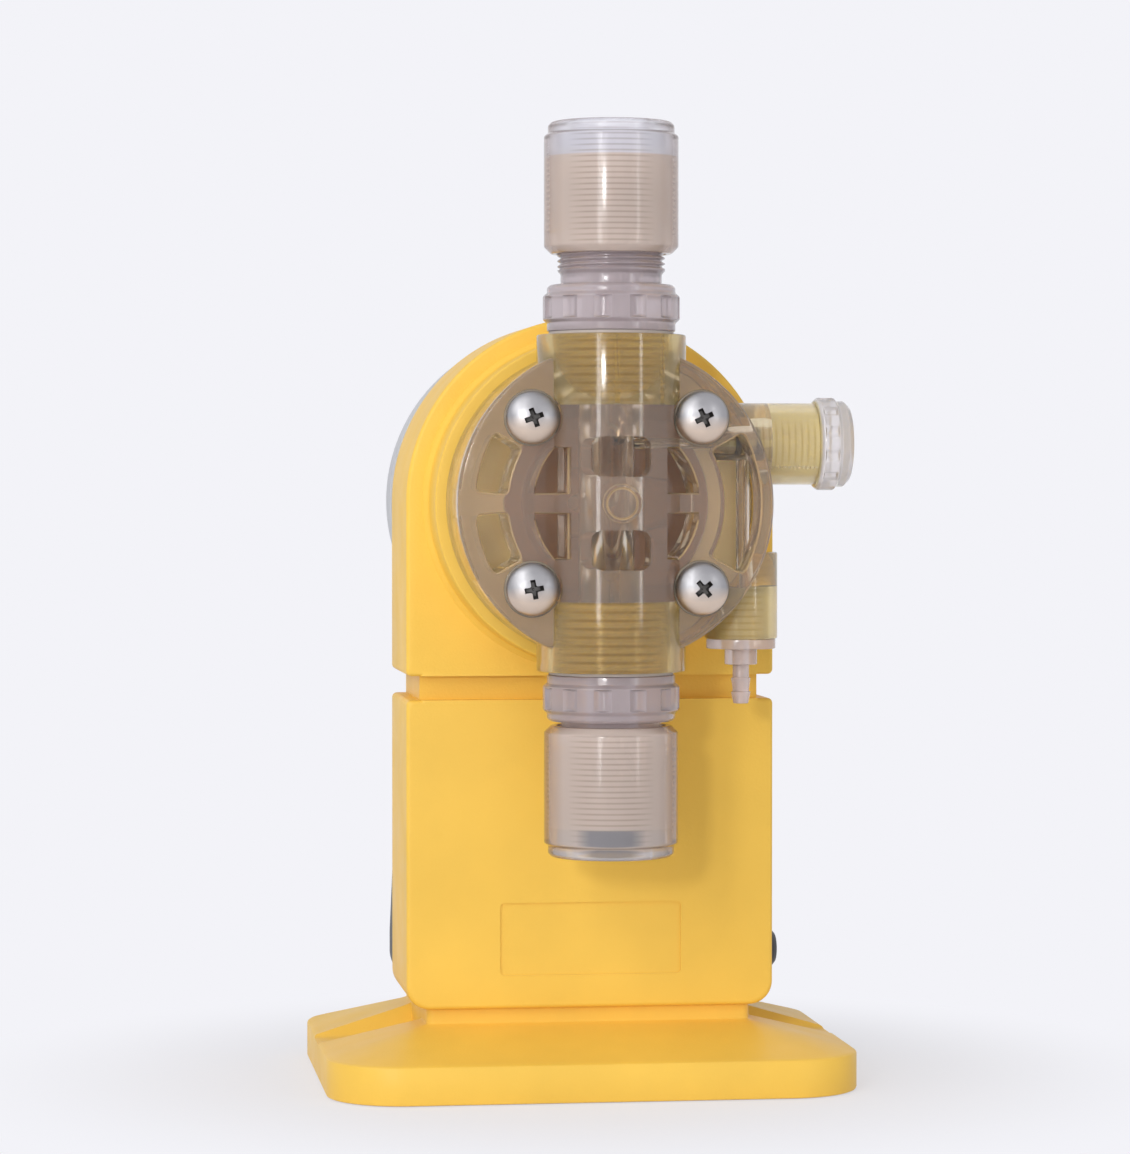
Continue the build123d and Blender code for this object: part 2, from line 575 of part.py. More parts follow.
GLAND_END_X = GLAND_SEAT_X + GLAND_LENGTH
GLAND_HEX = GLAND_LENGTH / 3
GLAND_DOME = GLAND_LENGTH * 0.7
GLAND_DOME_RADIUS = GLAND_RADIUS - 0.8
GLAND_NOSE_WALL = 0.7
with BuildPart() as cable_gland:
    rod(GLAND_AXIS, GLAND_THREAD_RADIUS, GLAND_INNER_X, GLAND_SEAT_X)
    gland_seat = (GLAND_SEAT_X, HOUSING_FRONT_Y + GLAND_DEPTH, GLAND_Z)
    with BuildSketch(Plane(origin=gland_seat, x_dir=(0, 1, 0), z_dir=(1, 0, 0))) as hexagon:
        RegularPolygon(GLAND_RADIUS, 6)
    extrude(hexagon.sketch, amount=GLAND_HEX)
    turn(
        GLAND_AXIS,
        [
            (0, GLAND_SEAT_X),
            (GLAND_DOME_RADIUS, GLAND_SEAT_X),
            (GLAND_DOME_RADIUS, GLAND_SEAT_X + GLAND_DOME),
            (CABLE_RADIUS + GLAND_NOSE_WALL, GLAND_END_X),
            (0, GLAND_END_X),
        ],
    )
    bore(GLAND_AXIS, CABLE_RADIUS, GLAND_INNER_X, GLAND_END_X)
finish(cable_gland, "cable_gland")

# ---------------------------------------------------------------- solenoid
YOKE_RADIUS = COVER_SCREW_X - COVER_PILLAR_RADIUS - YOKE_CLEARANCE
YOKE_FRONT = HOUSING_FRONT_WALL
YOKE_REAR = YOKE_FRONT + YOKE_LENGTH
POLE_FRONT = YOKE_FRONT + YOKE_FRONT_PLATE
POLE_REAR = POLE_FRONT + POLE_LENGTH
PLUNGER_FRONT = POLE_REAR + 2 * STROKE + LOOSE
PLUNGER_REAR = PLUNGER_FRONT + PLUNGER_LENGTH
COIL_BORE = PLUNGER_RADIUS + LOOSE
BOBBIN_TUBE = COIL_BORE + 1.2
COIL_ROOM = YOKE_RADIUS - YOKE_WALL
BOBBIN_FLANGE = 1.6
BOBBIN_FRONT = POLE_FRONT
BOBBIN_REAR = YOKE_REAR - YOKE_REAR_PLATE
SPRING_POCKET = SPRING_RADIUS + SPRING_WIRE / 2 + LOOSE
POLE_POCKET_DEPTH = 4.0
PLUNGER_POCKET_DEPTH = 8.0
SHAFT_FRONT = HEAD_REAR + 0.6
STUD_RADIUS = 2.4
STUD_LENGTH = 2.6

with BuildPart() as solenoid_yoke:
    rod(HEAD_AXIS, YOKE_RADIUS, YOKE_FRONT, YOKE_REAR)
    bore(HEAD_AXIS, COIL_ROOM, POLE_FRONT, YOKE_REAR)
    bore(HEAD_AXIS, SHAFT_RADIUS + LOOSE, YOKE_FRONT, POLE_FRONT)
finish(solenoid_yoke, "solenoid_yoke")

with BuildPart() as yoke_plate:
    ring(HEAD_AXIS, PLUNGER_RADIUS + LOOSE, COIL_ROOM - RUNNING, BOBBIN_REAR, YOKE_REAR)
finish(yoke_plate, "yoke_plate")

with BuildPart() as coil_bobbin:
    ring(HEAD_AXIS, COIL_BORE, BOBBIN_TUBE, BOBBIN_FRONT, BOBBIN_REAR)
    ring(HEAD_AXIS, COIL_BORE, COIL_ROOM - RUNNING, BOBBIN_FRONT, BOBBIN_FRONT + BOBBIN_FLANGE)
    ring(HEAD_AXIS, COIL_BORE, COIL_ROOM - RUNNING, BOBBIN_REAR - BOBBIN_FLANGE, BOBBIN_REAR)
finish(coil_bobbin, "coil_bobbin")

with BuildPart() as coil_winding:
    ring(HEAD_AXIS, BOBBIN_TUBE, COIL_ROOM - 2, BOBBIN_FRONT + BOBBIN_FLANGE, BOBBIN_REAR - BOBBIN_FLANGE)
finish(coil_winding, "coil_winding")

with BuildPart() as pole_piece:
    rod(HEAD_AXIS, COIL_BORE - RUNNING, POLE_FRONT, POLE_REAR)
    bore(HEAD_AXIS, SHAFT_RADIUS + LOOSE, POLE_FRONT, POLE_REAR)
    bore(HEAD_AXIS, SPRING_POCKET, POLE_REAR - POLE_POCKET_DEPTH, POLE_REAR)
finish(pole_piece, "pole_piece")

with BuildPart() as shaft_bush:
    ring(HEAD_AXIS, SHAFT_RADIUS + RUNNING, BUSH_RADIUS, HEAD_REAR + BACKING_THICKNESS, HOUSING_FRONT_WALL)
finish(shaft_bush, "shaft_bush")

with BuildPart() as plunger:
    rod(HEAD_AXIS, PLUNGER_RADIUS, PLUNGER_FRONT, PLUNGER_REAR)
    bore(HEAD_AXIS, SPRING_POCKET, PLUNGER_FRONT, PLUNGER_FRONT + PLUNGER_POCKET_DEPTH)
    bore(HEAD_AXIS, SHAFT_RADIUS + RUNNING, PLUNGER_FRONT, PLUNGER_REAR)
finish(plunger, "plunger")

with BuildPart() as drive_shaft:
    rod(HEAD_AXIS, SHAFT_RADIUS, SHAFT_FRONT, PLUNGER_REAR)
    rod(HEAD_AXIS, STUD_RADIUS, SHAFT_FRONT - STUD_LENGTH, SHAFT_FRONT)
finish(drive_shaft, "drive_shaft")

SPRING_FRONT = POLE_REAR - POLE_POCKET_DEPTH
SPRING_REAR = PLUNGER_FRONT + PLUNGER_POCKET_DEPTH
SPRING_END_GAP = RUNNING
SPRING_RISE = SPRING_REAR - SPRING_FRONT - SPRING_WIRE - 2 * SPRING_END_GAP
with BuildPart() as return_spring:
    with BuildLine(along_depth(0, HEAD_AXIS_Z)) as spring_path:
        Helix(
            pitch=SPRING_RISE / SPRING_TURNS,
            height=SPRING_RISE,
            radius=SPRING_RADIUS,
            center=(0, SPRING_FRONT + SPRING_WIRE / 2 + SPRING_END_GAP, 0),
            direction=(0, 1, 0),
        )
    with BuildSketch(Plane(origin=spring_path.line @ 0, z_dir=spring_path.line % 0)) as wire:
        RegularPolygon(SPRING_WIRE / 2, 6)
    sweep(wire.sketch, path=spring_path.line, is_frenet=True)
finish(return_spring, "return_spring")

STOP_FRONT = PLUNGER_REAR + RUNNING
with BuildPart() as stroke_stop:
    rod(HEAD_AXIS, STOP_PAD_RADIUS, STOP_FRONT, STOP_FRONT + STOP_PAD)
    rod(HEAD_AXIS, STOP_STEM_RADIUS, STOP_FRONT, SLEEVE_FRONT + STOP_STEM_BITE)
finish(stroke_stop, "stroke_stop")

# ---------------------------------------------------------------- diaphragm and its backing
BACKING_DISH = 2.5
BACKING_BORE = SHAFT_RADIUS + LOOSE
with BuildPart() as backing_plate:
    rod(HEAD_AXIS, BACKING_RADIUS, HEAD_REAR, HEAD_REAR + BACKING_THICKNESS)
    bore(HEAD_AXIS, BACKING_BORE, HEAD_REAR, HEAD_REAR + BACKING_THICKNESS)
    bore(HEAD_AXIS, CHAMBER_RADIUS, HEAD_REAR, HEAD_REAR + BACKING_DISH)
    for x, z in HEAD_SCREW_SPOTS:
        bore(along_depth(x, z), HEAD_SCREW_RADIUS + LOOSE, HEAD_REAR, HEAD_REAR + BACKING_THICKNESS)
finish(backing_plate, "backing_plate")

DIAPHRAGM_FRONT = HEAD_REAR - DIAPHRAGM_THICKNESS
HUB_RADIUS = 8.0
HUB_REAR = SHAFT_FRONT - RUNNING
with BuildPart() as diaphragm:
    turn(
        HEAD_AXIS,
        [
            (0, DIAPHRAGM_FRONT - 0.6),
            (HUB_RADIUS - 1, DIAPHRAGM_FRONT - 0.6),
            (HUB_RADIUS, DIAPHRAGM_FRONT),
            (HUB_RADIUS + 3, DIAPHRAGM_FRONT + 1.2),
            (CHAMBER_RADIUS - 3, DIAPHRAGM_FRONT + 1.2),
            (CHAMBER_RADIUS, DIAPHRAGM_FRONT),
            (DIAPHRAGM_RADIUS, DIAPHRAGM_FRONT),
            (DIAPHRAGM_RADIUS, HEAD_REAR),
            (CHAMBER_RADIUS, HEAD_REAR),
            (CHAMBER_RADIUS - 3, HEAD_REAR),
            (HUB_RADIUS + 3, HEAD_REAR),
            (HUB_RADIUS, HUB_REAR),
            (0, HUB_REAR),
        ],
    )
    bore(HEAD_AXIS, STUD_RADIUS + RUNNING, SHAFT_FRONT - STUD_LENGTH - RUNNING, HUB_REAR)
finish(diaphragm, "diaphragm")

# ---------------------------------------------------------------- clear pump head
BLEED_DRILL_Y = ARM_Y - BLEED_BORE_RADIUS + 1.5
BLEED_THREAD_START = BLEED_ARM_END - BLEED_THREAD_LENGTH
RETURN_THREAD_LENGTH = 12.0
RETURN_THREAD_TOP = RETURN_ARM_BOTTOM + RETURN_THREAD_LENGTH
POCKET_DEPTH = 18.0
WINDOW_WIDTH = 13.6
WINDOW_HEIGHT = 9.0
WINDOW_OFFSET = 10.5
WINDOW_DEPTH = 10.0
INNER_POCKET_RADIUS = 18.8
INNER_POCKET_EDGE = 11.2
INNER_POCKET_REACH = 12.5
RIB_HALF = 2.3
SECTOR_INNER = 24.8
SECTOR_OUTER = 31.7
SECTOR_ANGLE = 33.0
LENS_DEPTH = 10.0
LENS_INNER = 24.8
LENS_OUTER = 33.0
LENS_ANGLE = 29.0
CENTRE_BOSS_RADIUS = 4.4
CENTRE_BOSS_HEIGHT = 0.6
TUBE_FRONT = TUBE_DEPTH - TUBE_RADIUS


def pocket(face, depth, front):
    """Sink an outline, drawn in X and Z about the head axis, into the head from a front depth."""
    extrude(facing(front) * Pos(0, HEAD_AXIS_Z, 0) * face, amount=-depth, mode=Mode.SUBTRACT)


def inner_pockets():
    """Four pockets beside the valve tube, split by the cross rib."""
    with BuildSketch() as outline:
        Circle(INNER_POCKET_RADIUS)
        Rectangle(2 * INNER_POCKET_EDGE, 4 * INNER_POCKET_RADIUS, mode=Mode.SUBTRACT)
        Rectangle(4 * INNER_POCKET_RADIUS, 2 * RIB_HALF, mode=Mode.SUBTRACT)
        Rectangle(4 * INNER_POCKET_RADIUS, 2 * INNER_POCKET_REACH, mode=Mode.INTERSECT)
        fillet(outline.vertices(), 1.0)
    return outline.sketch


def ring_sector(inner, outer, start, sweep_angle):
    """Annular sector between two radii, from a start angle, with rounded corners."""
    with BuildSketch() as outline:
        with BuildLine():
            outside = CenterArc((0, 0), outer, start, sweep_angle)
            inside = CenterArc((0, 0), inner, start, sweep_angle)
            Line(outside @ 0, inside @ 0)
            Line(outside @ 1, inside @ 1)
        make_face()
        fillet(outline.vertices(), 1.2)
    return outline.sketch


def windows():
    """Two rounded windows in the valve tube, above and below the centre."""
    with BuildSketch() as outline:
        with Locations((0, WINDOW_OFFSET), (0, -WINDOW_OFFSET)):
            RectangleRounded(WINDOW_WIDTH, WINDOW_HEIGHT, 2.5)
    return outline.sketch


SECTOR_START = 180.0 - SECTOR_ANGLE
SECTOR_GAP = 5.0
SECTOR_SWEEP = SECTOR_ANGLE - SECTOR_GAP

with BuildPart() as pump_head:
    rod(HEAD_AXIS, HEAD_RADIUS, HEAD_FRONT, HEAD_REAR)
    chamfer(pump_head.edges().filter_by(GeomType.CIRCLE).sort_by(Axis.Y)[0], 0.6)
    rod(TUBE_AXIS, TUBE_RADIUS, PORT_BOTTOM, PORT_TOP)
    rod(BLEED_AXIS, BLEED_ARM_RADIUS, TUBE_RADIUS / 2, BLEED_ARM_END)
    rod(RETURN_AXIS, RETURN_ARM_RADIUS, RETURN_ARM_BOTTOM, RETURN_ARM_TOP)
    # raised ring in the middle of the tube front
    with BuildSketch(facing(TUBE_DEPTH)) as centre_boss:
        with Locations((0, HEAD_AXIS_Z)):
            Circle(CENTRE_BOSS_RADIUS)
    extrude(centre_boss.sketch, amount=TUBE_RADIUS + CENTRE_BOSS_HEIGHT)
    pocket(inner_pockets(), POCKET_DEPTH, HEAD_FRONT)
    extrude(
        facing(HEAD_FRONT) * Pos(0, HEAD_AXIS_Z, 0) * inner_pockets(),
        amount=TUBE_RADIUS,
        mode=Mode.SUBTRACT,
    )
    for start in (SECTOR_START, 180.0 + SECTOR_GAP):
        pocket(ring_sector(SECTOR_INNER, SECTOR_OUTER, start, SECTOR_SWEEP), POCKET_DEPTH, HEAD_FRONT)
    pocket(ring_sector(LENS_INNER, LENS_OUTER, -LENS_ANGLE, 2 * LENS_ANGLE), LENS_DEPTH, HEAD_FRONT)
    pocket(windows(), WINDOW_DEPTH, TUBE_FRONT)
    # ports, valve passages and the way through to the diaphragm
    bore(TUBE_AXIS, PASSAGE_RADIUS, PORT_BOTTOM, PORT_TOP)
    bore(TUBE_AXIS, PORT_THREAD_RADIUS, PORT_TOP - PORT_DEPTH, PORT_TOP)
    bore(TUBE_AXIS, PORT_THREAD_RADIUS, PORT_BOTTOM, PORT_BOTTOM + PORT_DEPTH)
    bore(HEAD_AXIS, CROSS_PASSAGE_RADIUS, TUBE_DEPTH, HEAD_REAR)
    bore(HEAD_AXIS, DIAPHRAGM_RADIUS + RUNNING, DIAPHRAGM_FRONT, HEAD_REAR)
    bore(HEAD_AXIS, CHAMBER_RADIUS, DIAPHRAGM_FRONT - CHAMBER_DEPTH, HEAD_REAR)
    # bleed drilling, needle bore and return channel
    bore(along_width(BLEED_DRILL_Y, BLEED_Z), BLEED_DRILL_RADIUS, 0, BLEED_BORE_START + 1)
    bore(BLEED_AXIS, BLEED_BORE_RADIUS, BLEED_BORE_START, BLEED_ARM_END)
    bore(BLEED_AXIS, BLEED_THREAD_RADIUS, BLEED_THREAD_START, BLEED_ARM_END)
    bore(RETURN_AXIS, RETURN_CHANNEL_RADIUS, RETURN_ARM_BOTTOM, BLEED_Z)
    bore(RETURN_AXIS, RETURN_THREAD_RADIUS, RETURN_ARM_BOTTOM, RETURN_THREAD_TOP)
    for x, z in HEAD_SCREW_SPOTS:
        bore(along_depth(x, z), HEAD_SCREW_RADIUS + LOOSE, HEAD_FRONT, HEAD_REAR)
        bore(along_depth(x, z), HEAD_WASHER_RADIUS + LOOSE, TUBE_FRONT, HEAD_FRONT)
finish(pump_head, "pump_head")

CROSS_SPAN = 4.6
CROSS_WIDTH = 1.3
CROSS_DEPTH = 2.0
HEAD_SCREW_SEAT = HEAD_FRONT - HEAD_WASHER
HEAD_SCREW_TURNS = (10.0, 20.0, 40.0, 25.0)
DOME_STEPS = 5
DOME_RIM = 0.9


def dome_outline(radius, seat, crown):
    """Half outline of a pan head: a short rim, then a quarter ellipse in steps to the crown."""
    rise = seat - DOME_RIM - crown
    points = [(0, seat), (radius, seat)]
    for step in range(DOME_STEPS + 1):
        angle = radians(90 * step / DOME_STEPS)
        points.append((radius * cos(angle), seat - DOME_RIM - rise * sin(angle)))
    points[-1] = (0, crown)
    return points


with BuildPart() as head_screws:
    for (x, z), turned in zip(HEAD_SCREW_SPOTS, HEAD_SCREW_TURNS):
        station = along_depth(x, z)
        crown = HEAD_SCREW_SEAT - HEAD_SCREW_HEAD_HEIGHT
        rod(station, HEAD_SCREW_RADIUS, HEAD_SCREW_SEAT, HEAD_SCREW_TIP)
        turn(station, dome_outline(HEAD_SCREW_HEAD_RADIUS, HEAD_SCREW_SEAT, crown))
        with BuildSketch(facing(crown)) as recess:
            with Locations(Location((x, z), turned)):
                Rectangle(CROSS_SPAN, CROSS_WIDTH)
                Rectangle(CROSS_WIDTH, CROSS_SPAN)
        extrude(recess.sketch, amount=-CROSS_DEPTH, mode=Mode.SUBTRACT)
finish(head_screws, "head_screws")

with BuildPart() as head_washers:
    for x, z in HEAD_SCREW_SPOTS:
        ring(along_depth(x, z), HEAD_SCREW_RADIUS + LOOSE, HEAD_WASHER_RADIUS, HEAD_SCREW_SEAT, HEAD_FRONT)
finish(head_washers, "head_washers")

# ---------------------------------------------------------------- valves, the same stack at both ports
BODY_THREAD_RADIUS = PORT_THREAD_RADIUS - THREAD_GAP
NUT_BORE = NECK_RADIUS + THREAD_GAP
SEAT_RADIUS = BALL_CHAMBER_RADIUS - RUNNING
SEAL_RADIUS = COLLAR_TIER_RADIUS - 0.4
SEAT_SEAL = (BALL_RADIUS**2 - SEAT_BORE_RADIUS**2) ** 0.5 + RUNNING
UPPER_COLLAR = PORT_TOP + BODY_SEAL
UPPER_NECK = UPPER_COLLAR + COLLAR_HEIGHT
UPPER_NECK_END = UPPER_NECK + NECK_LENGTH
UPPER_BODY_START = PORT_TOP - PORT_DEPTH + LOOSE
LOWER_COLLAR = PORT_BOTTOM - BODY_SEAL
LOWER_NECK = LOWER_COLLAR - COLLAR_HEIGHT
LOWER_NECK_END = LOWER_NECK - NECK_LENGTH
LOWER_BODY_START = PORT_BOTTOM + PORT_DEPTH - LOOSE


def lug_cuts(low):
    """Finger hollows round a collar, between its plain tiers."""
    band = 2.0
    with BuildSketch(Plane(origin=(0, TUBE_Y, low + band), x_dir=(1, 0, 0), z_dir=(0, 0, 1))) as hollows:
        with PolarLocations(COLLAR_RADIUS, COLLAR_LUGS):
            SlotOverall(4.4, 1.5, rotation=90)
    extrude(hollows.sketch, amount=COLLAR_HEIGHT - 2 * band, mode=Mode.SUBTRACT)


def valve_body(thread_end, port, collar, neck, neck_end):
    """Screwed valve body: threaded shank, lugged collar and long neck, all about the tube axis."""
    step = 1.6 if neck_end > port else -1.6
    turn(
        TUBE_AXIS,
        [
            (0, thread_end),
            (BODY_THREAD_RADIUS - 0.6, thread_end),
            (BODY_THREAD_RADIUS, thread_end + step / 2),
            (BODY_THREAD_RADIUS, collar),
            (COLLAR_TIER_RADIUS, collar),
            (COLLAR_TIER_RADIUS, collar + step),
            (COLLAR_RADIUS, collar + 1.5 * step),
            (COLLAR_RADIUS, neck - 1.5 * step),
            (COLLAR_TIER_RADIUS, neck - step),
            (COLLAR_TIER_RADIUS - 0.8, neck),
            (NECK_ROOT_RADIUS, neck),
            (NECK_ROOT_RADIUS, neck + 1.5 * step),
            (NECK_RADIUS, neck + 2 * step),
            (NECK_RADIUS, neck_end - step / 2),
            (NECK_RADIUS - 0.8, neck_end),
            (0, neck_end),
        ],
    )
    lug_cuts(min(collar, neck))


UPPER_SEAT_TOP = UPPER_BODY_START + SEAT_HEIGHT
UPPER_BALL_Z = UPPER_SEAT_TOP + SEAT_SEAL
UPPER_CHAMBER_TOP = UPPER_BALL_Z + BALL_RADIUS + BALL_LIFT + LOOSE
with BuildPart() as discharge_valve_body:
    valve_body(UPPER_BODY_START, PORT_TOP, UPPER_COLLAR, UPPER_NECK, UPPER_NECK_END)
    bore(TUBE_AXIS, BALL_CHAMBER_RADIUS, UPPER_BODY_START, UPPER_CHAMBER_TOP)
    bore(TUBE_AXIS, VALVE_BORE_RADIUS, UPPER_CHAMBER_TOP, UPPER_NECK_END)
finish(discharge_valve_body, "discharge_valve_body")

LOWER_SEAT_BOTTOM = PORT_BOTTOM + 1.0
LOWER_SEAT_TOP = LOWER_SEAT_BOTTOM + SEAT_HEIGHT
LOWER_BALL_Z = LOWER_SEAT_TOP + SEAT_SEAL
with BuildPart() as suction_valve_body:
    valve_body(LOWER_BODY_START, PORT_BOTTOM, LOWER_COLLAR, LOWER_NECK, LOWER_NECK_END)
    bore(TUBE_AXIS, BALL_CHAMBER_RADIUS, LOWER_SEAT_BOTTOM, LOWER_BODY_START)
    bore(TUBE_AXIS, VALVE_BORE_RADIUS, LOWER_NECK_END, LOWER_SEAT_BOTTOM)
finish(suction_valve_body, "suction_valve_body")

for port_name, seat_bottom, ball_height, seal_start in (
    ("discharge", UPPER_BODY_START, UPPER_BALL_Z, PORT_TOP),
    ("suction", LOWER_SEAT_BOTTOM, LOWER_BALL_Z, LOWER_COLLAR),
):
    with BuildPart() as valve_seat:
        ring(TUBE_AXIS, SEAT_BORE_RADIUS, SEAT_RADIUS, seat_bottom, seat_bottom + SEAT_HEIGHT)
    finish(valve_seat, f"{port_name}_seat")
    with BuildPart() as valve_ball:
        with Locations((0, TUBE_Y, ball_height)):
            Sphere(BALL_RADIUS)
    finish(valve_ball, f"{port_name}_ball")
    with BuildPart() as body_seal:
        ring(TUBE_AXIS, BODY_THREAD_RADIUS + RUNNING, SEAL_RADIUS, seal_start, seal_start + BODY_SEAL)
    finish(body_seal, f"{port_name}_seal")


def coupling_nut(open_end, closed_end):
    """Long smooth coupling nut: thread bore from the open end, lipped wall with a tube hole."""
    way = 1 if closed_end > open_end else -1
    turn(
        TUBE_AXIS,
        [
            (NUT_BORE, open_end),
            (NUT_RADIUS - NUT_CHAMFER, open_end),
            (NUT_RADIUS, open_end + way * NUT_CHAMFER),
            (NUT_RADIUS, closed_end - way * NUT_LIP_HEIGHT),
            (NUT_LIP_RADIUS, closed_end - way * (NUT_LIP_HEIGHT - 0.6)),
            (NUT_LIP_RADIUS, closed_end - way * 0.8),
            (NUT_LIP_RADIUS - 0.8, closed_end),
            (NUT_HOLE_RADIUS, closed_end),
            (NUT_HOLE_RADIUS, closed_end - way * NUT_END_WALL),
            (NUT_BORE, closed_end - way * NUT_END_WALL),
        ],
    )


UPPER_NUT_TOP = UPPER_NECK_END + LOOSE + FERRULE_HEIGHT + NUT_END_WALL + UPPER_NUT_BACKED_OFF
UPPER_NUT_WALL = UPPER_NUT_TOP - NUT_END_WALL
with BuildPart() as discharge_nut:
    coupling_nut(UPPER_NUT_TOP - NUT_LENGTH, UPPER_NUT_TOP)
finish(discharge_nut, "discharge_nut")

with BuildPart() as discharge_ferrule:
    ring(TUBE_AXIS, NUT_HOLE_RADIUS - 2, NECK_RADIUS, UPPER_NUT_WALL - FERRULE_HEIGHT, UPPER_NUT_WALL)
finish(discharge_ferrule, "discharge_ferrule")

LOWER_NUT_BOTTOM = LOWER_NECK_END - LOOSE - FERRULE_HEIGHT - NUT_END_WALL
LOWER_NUT_WALL = LOWER_NUT_BOTTOM + NUT_END_WALL
with BuildPart() as suction_nut:
    coupling_nut(LOWER_NUT_BOTTOM + NUT_LENGTH, LOWER_NUT_BOTTOM)
finish(suction_nut, "suction_nut")

with BuildPart() as suction_ferrule:
    ring(TUBE_AXIS, NUT_HOLE_RADIUS - 2.7, NECK_RADIUS, LOWER_NUT_WALL, LOWER_NUT_WALL + FERRULE_HEIGHT)
finish(suction_ferrule, "suction_ferrule")

# ---------------------------------------------------------------- bleed valve
BLEED_CAP_START = BLEED_ARM_END + RUNNING
BLEED_CAP_RADIUS = 10.65
BLEED_CAP_RING_RADIUS = 9.9
BLEED_CAP_LENGTH = 7.9
BLEED_CAP_LUGS = 12
NEEDLE_RADIUS = BLEED_BORE_RADIUS - 0.4
NEEDLE_TIP = BLEED_BORE_START + 0.6
NEEDLE_CONE = 3.2
O_RING_GROOVE = 1.9
O_RING_SPOTS = (29.2, 33.2)
GROOVE_RADIUS = NEEDLE_RADIUS - 1.0
with BuildPart() as bleed_screw:
    outline_points = [
        (0, NEEDLE_TIP),
        (BLEED_DRILL_RADIUS, NEEDLE_TIP),
        (NEEDLE_RADIUS, NEEDLE_TIP + NEEDLE_CONE),
    ]
    for start in O_RING_SPOTS:
        outline_points += [
            (NEEDLE_RADIUS, start),
            (GROOVE_RADIUS, start),
            (GROOVE_RADIUS, start + O_RING_GROOVE),
            (NEEDLE_RADIUS, start + O_RING_GROOVE),
        ]
    outline_points += [
        (NEEDLE_RADIUS, BLEED_THREAD_START + LOOSE),
        (BLEED_THREAD_RADIUS - THREAD_GAP, BLEED_THREAD_START + LOOSE),
        (BLEED_THREAD_RADIUS - THREAD_GAP, BLEED_CAP_START),
        (BLEED_CAP_RING_RADIUS, BLEED_CAP_START),
        (BLEED_CAP_RADIUS, BLEED_CAP_START + 0.8),
        (BLEED_CAP_RADIUS, BLEED_CAP_START + 4.4),
        (BLEED_CAP_RING_RADIUS, BLEED_CAP_START + 5.0),
        (BLEED_CAP_RING_RADIUS, BLEED_CAP_START + BLEED_CAP_LENGTH - 1.2),
        (BLEED_CAP_RING_RADIUS - 1.2, BLEED_CAP_START + BLEED_CAP_LENGTH),
        (0, BLEED_CAP_START + BLEED_CAP_LENGTH),
    ]
    turn(BLEED_AXIS, outline_points)
    cap_face = (BLEED_CAP_START + 0.8, ARM_Y, BLEED_Z)
    with BuildSketch(Plane(origin=cap_face, x_dir=(0, 1, 0), z_dir=(1, 0, 0))) as cap_hollows:
        with PolarLocations(BLEED_CAP_RADIUS, BLEED_CAP_LUGS):
            SlotOverall(2.8, 1.4, rotation=90)
    extrude(cap_hollows.sketch, amount=3.6, mode=Mode.SUBTRACT)
finish(bleed_screw, "bleed_screw")

with BuildPart() as bleed_o_rings:
    for start in O_RING_SPOTS:
        middle = start + O_RING_GROOVE / 2
        with BuildSketch(BLEED_AXIS) as section:
            with Locations(((GROOVE_RADIUS + BLEED_BORE_RADIUS) / 2, middle)):
                RegularPolygon((BLEED_BORE_RADIUS - GROOVE_RADIUS) / 2 - RUNNING, 8)
        revolve(section.sketch, axis=Axis(BLEED_AXIS.origin, BLEED_AXIS.y_dir))
finish(bleed_o_rings, "bleed_o_rings")

# ---------------------------------------------------------------- return nozzle
NOZZLE_FLANGE_RADIUS = 8.0
NOZZLE_FLANGE = 2.3
NOZZLE_COLLAR_RADIUS = 3.75
NOZZLE_COLLAR = 3.7
BARB_RADIUS = 2.26
BARB_LENGTH = 9.0
BARB_TAPER = 1.0
NOZZLE_BORE = 1.3
RETURN_SEAL = 1.4
RETURN_SEAL_BORE = RETURN_CHANNEL_RADIUS + 1.2
NOZZLE_TOP = RETURN_THREAD_TOP - RETURN_SEAL
FLANGE_BOTTOM = RETURN_ARM_BOTTOM - NOZZLE_FLANGE
COLLAR_BOTTOM = FLANGE_BOTTOM - NOZZLE_COLLAR
BARB_END = COLLAR_BOTTOM - BARB_LENGTH
with BuildPart() as return_nozzle:
    turn(
        RETURN_AXIS,
        [
            (NOZZLE_BORE, NOZZLE_TOP),
            (RETURN_THREAD_RADIUS - THREAD_GAP, NOZZLE_TOP),
            (RETURN_THREAD_RADIUS - THREAD_GAP, RETURN_ARM_BOTTOM),
            (NOZZLE_FLANGE_RADIUS, RETURN_ARM_BOTTOM),
            (NOZZLE_FLANGE_RADIUS, FLANGE_BOTTOM),
            (NOZZLE_COLLAR_RADIUS, FLANGE_BOTTOM),
            (NOZZLE_COLLAR_RADIUS, COLLAR_BOTTOM),
            (BARB_RADIUS, COLLAR_BOTTOM),
            (BARB_RADIUS, BARB_END + BARB_TAPER),
            (BARB_RADIUS - BARB_TAPER / 2, BARB_END),
            (NOZZLE_BORE, BARB_END),
        ],
    )
finish(return_nozzle, "return_nozzle")

with BuildPart() as return_seal:
    ring(RETURN_AXIS, RETURN_SEAL_BORE, RETURN_THREAD_RADIUS - RUNNING, NOZZLE_TOP, RETURN_THREAD_TOP)
finish(return_seal, "return_seal")
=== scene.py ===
"""Visual model of a solenoid-driven diaphragm metering pump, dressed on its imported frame.

Lengths in the classes are millimetres; meshes are written in metres, in the frame's own axes:
the liquid end faces -Y and +Z is up.
"""

import json
import logging
import math
from dataclasses import dataclass
from enum import Enum
from typing import Sequence

import bmesh
import bpy
import numpy as np
from mathutils import Matrix, Vector

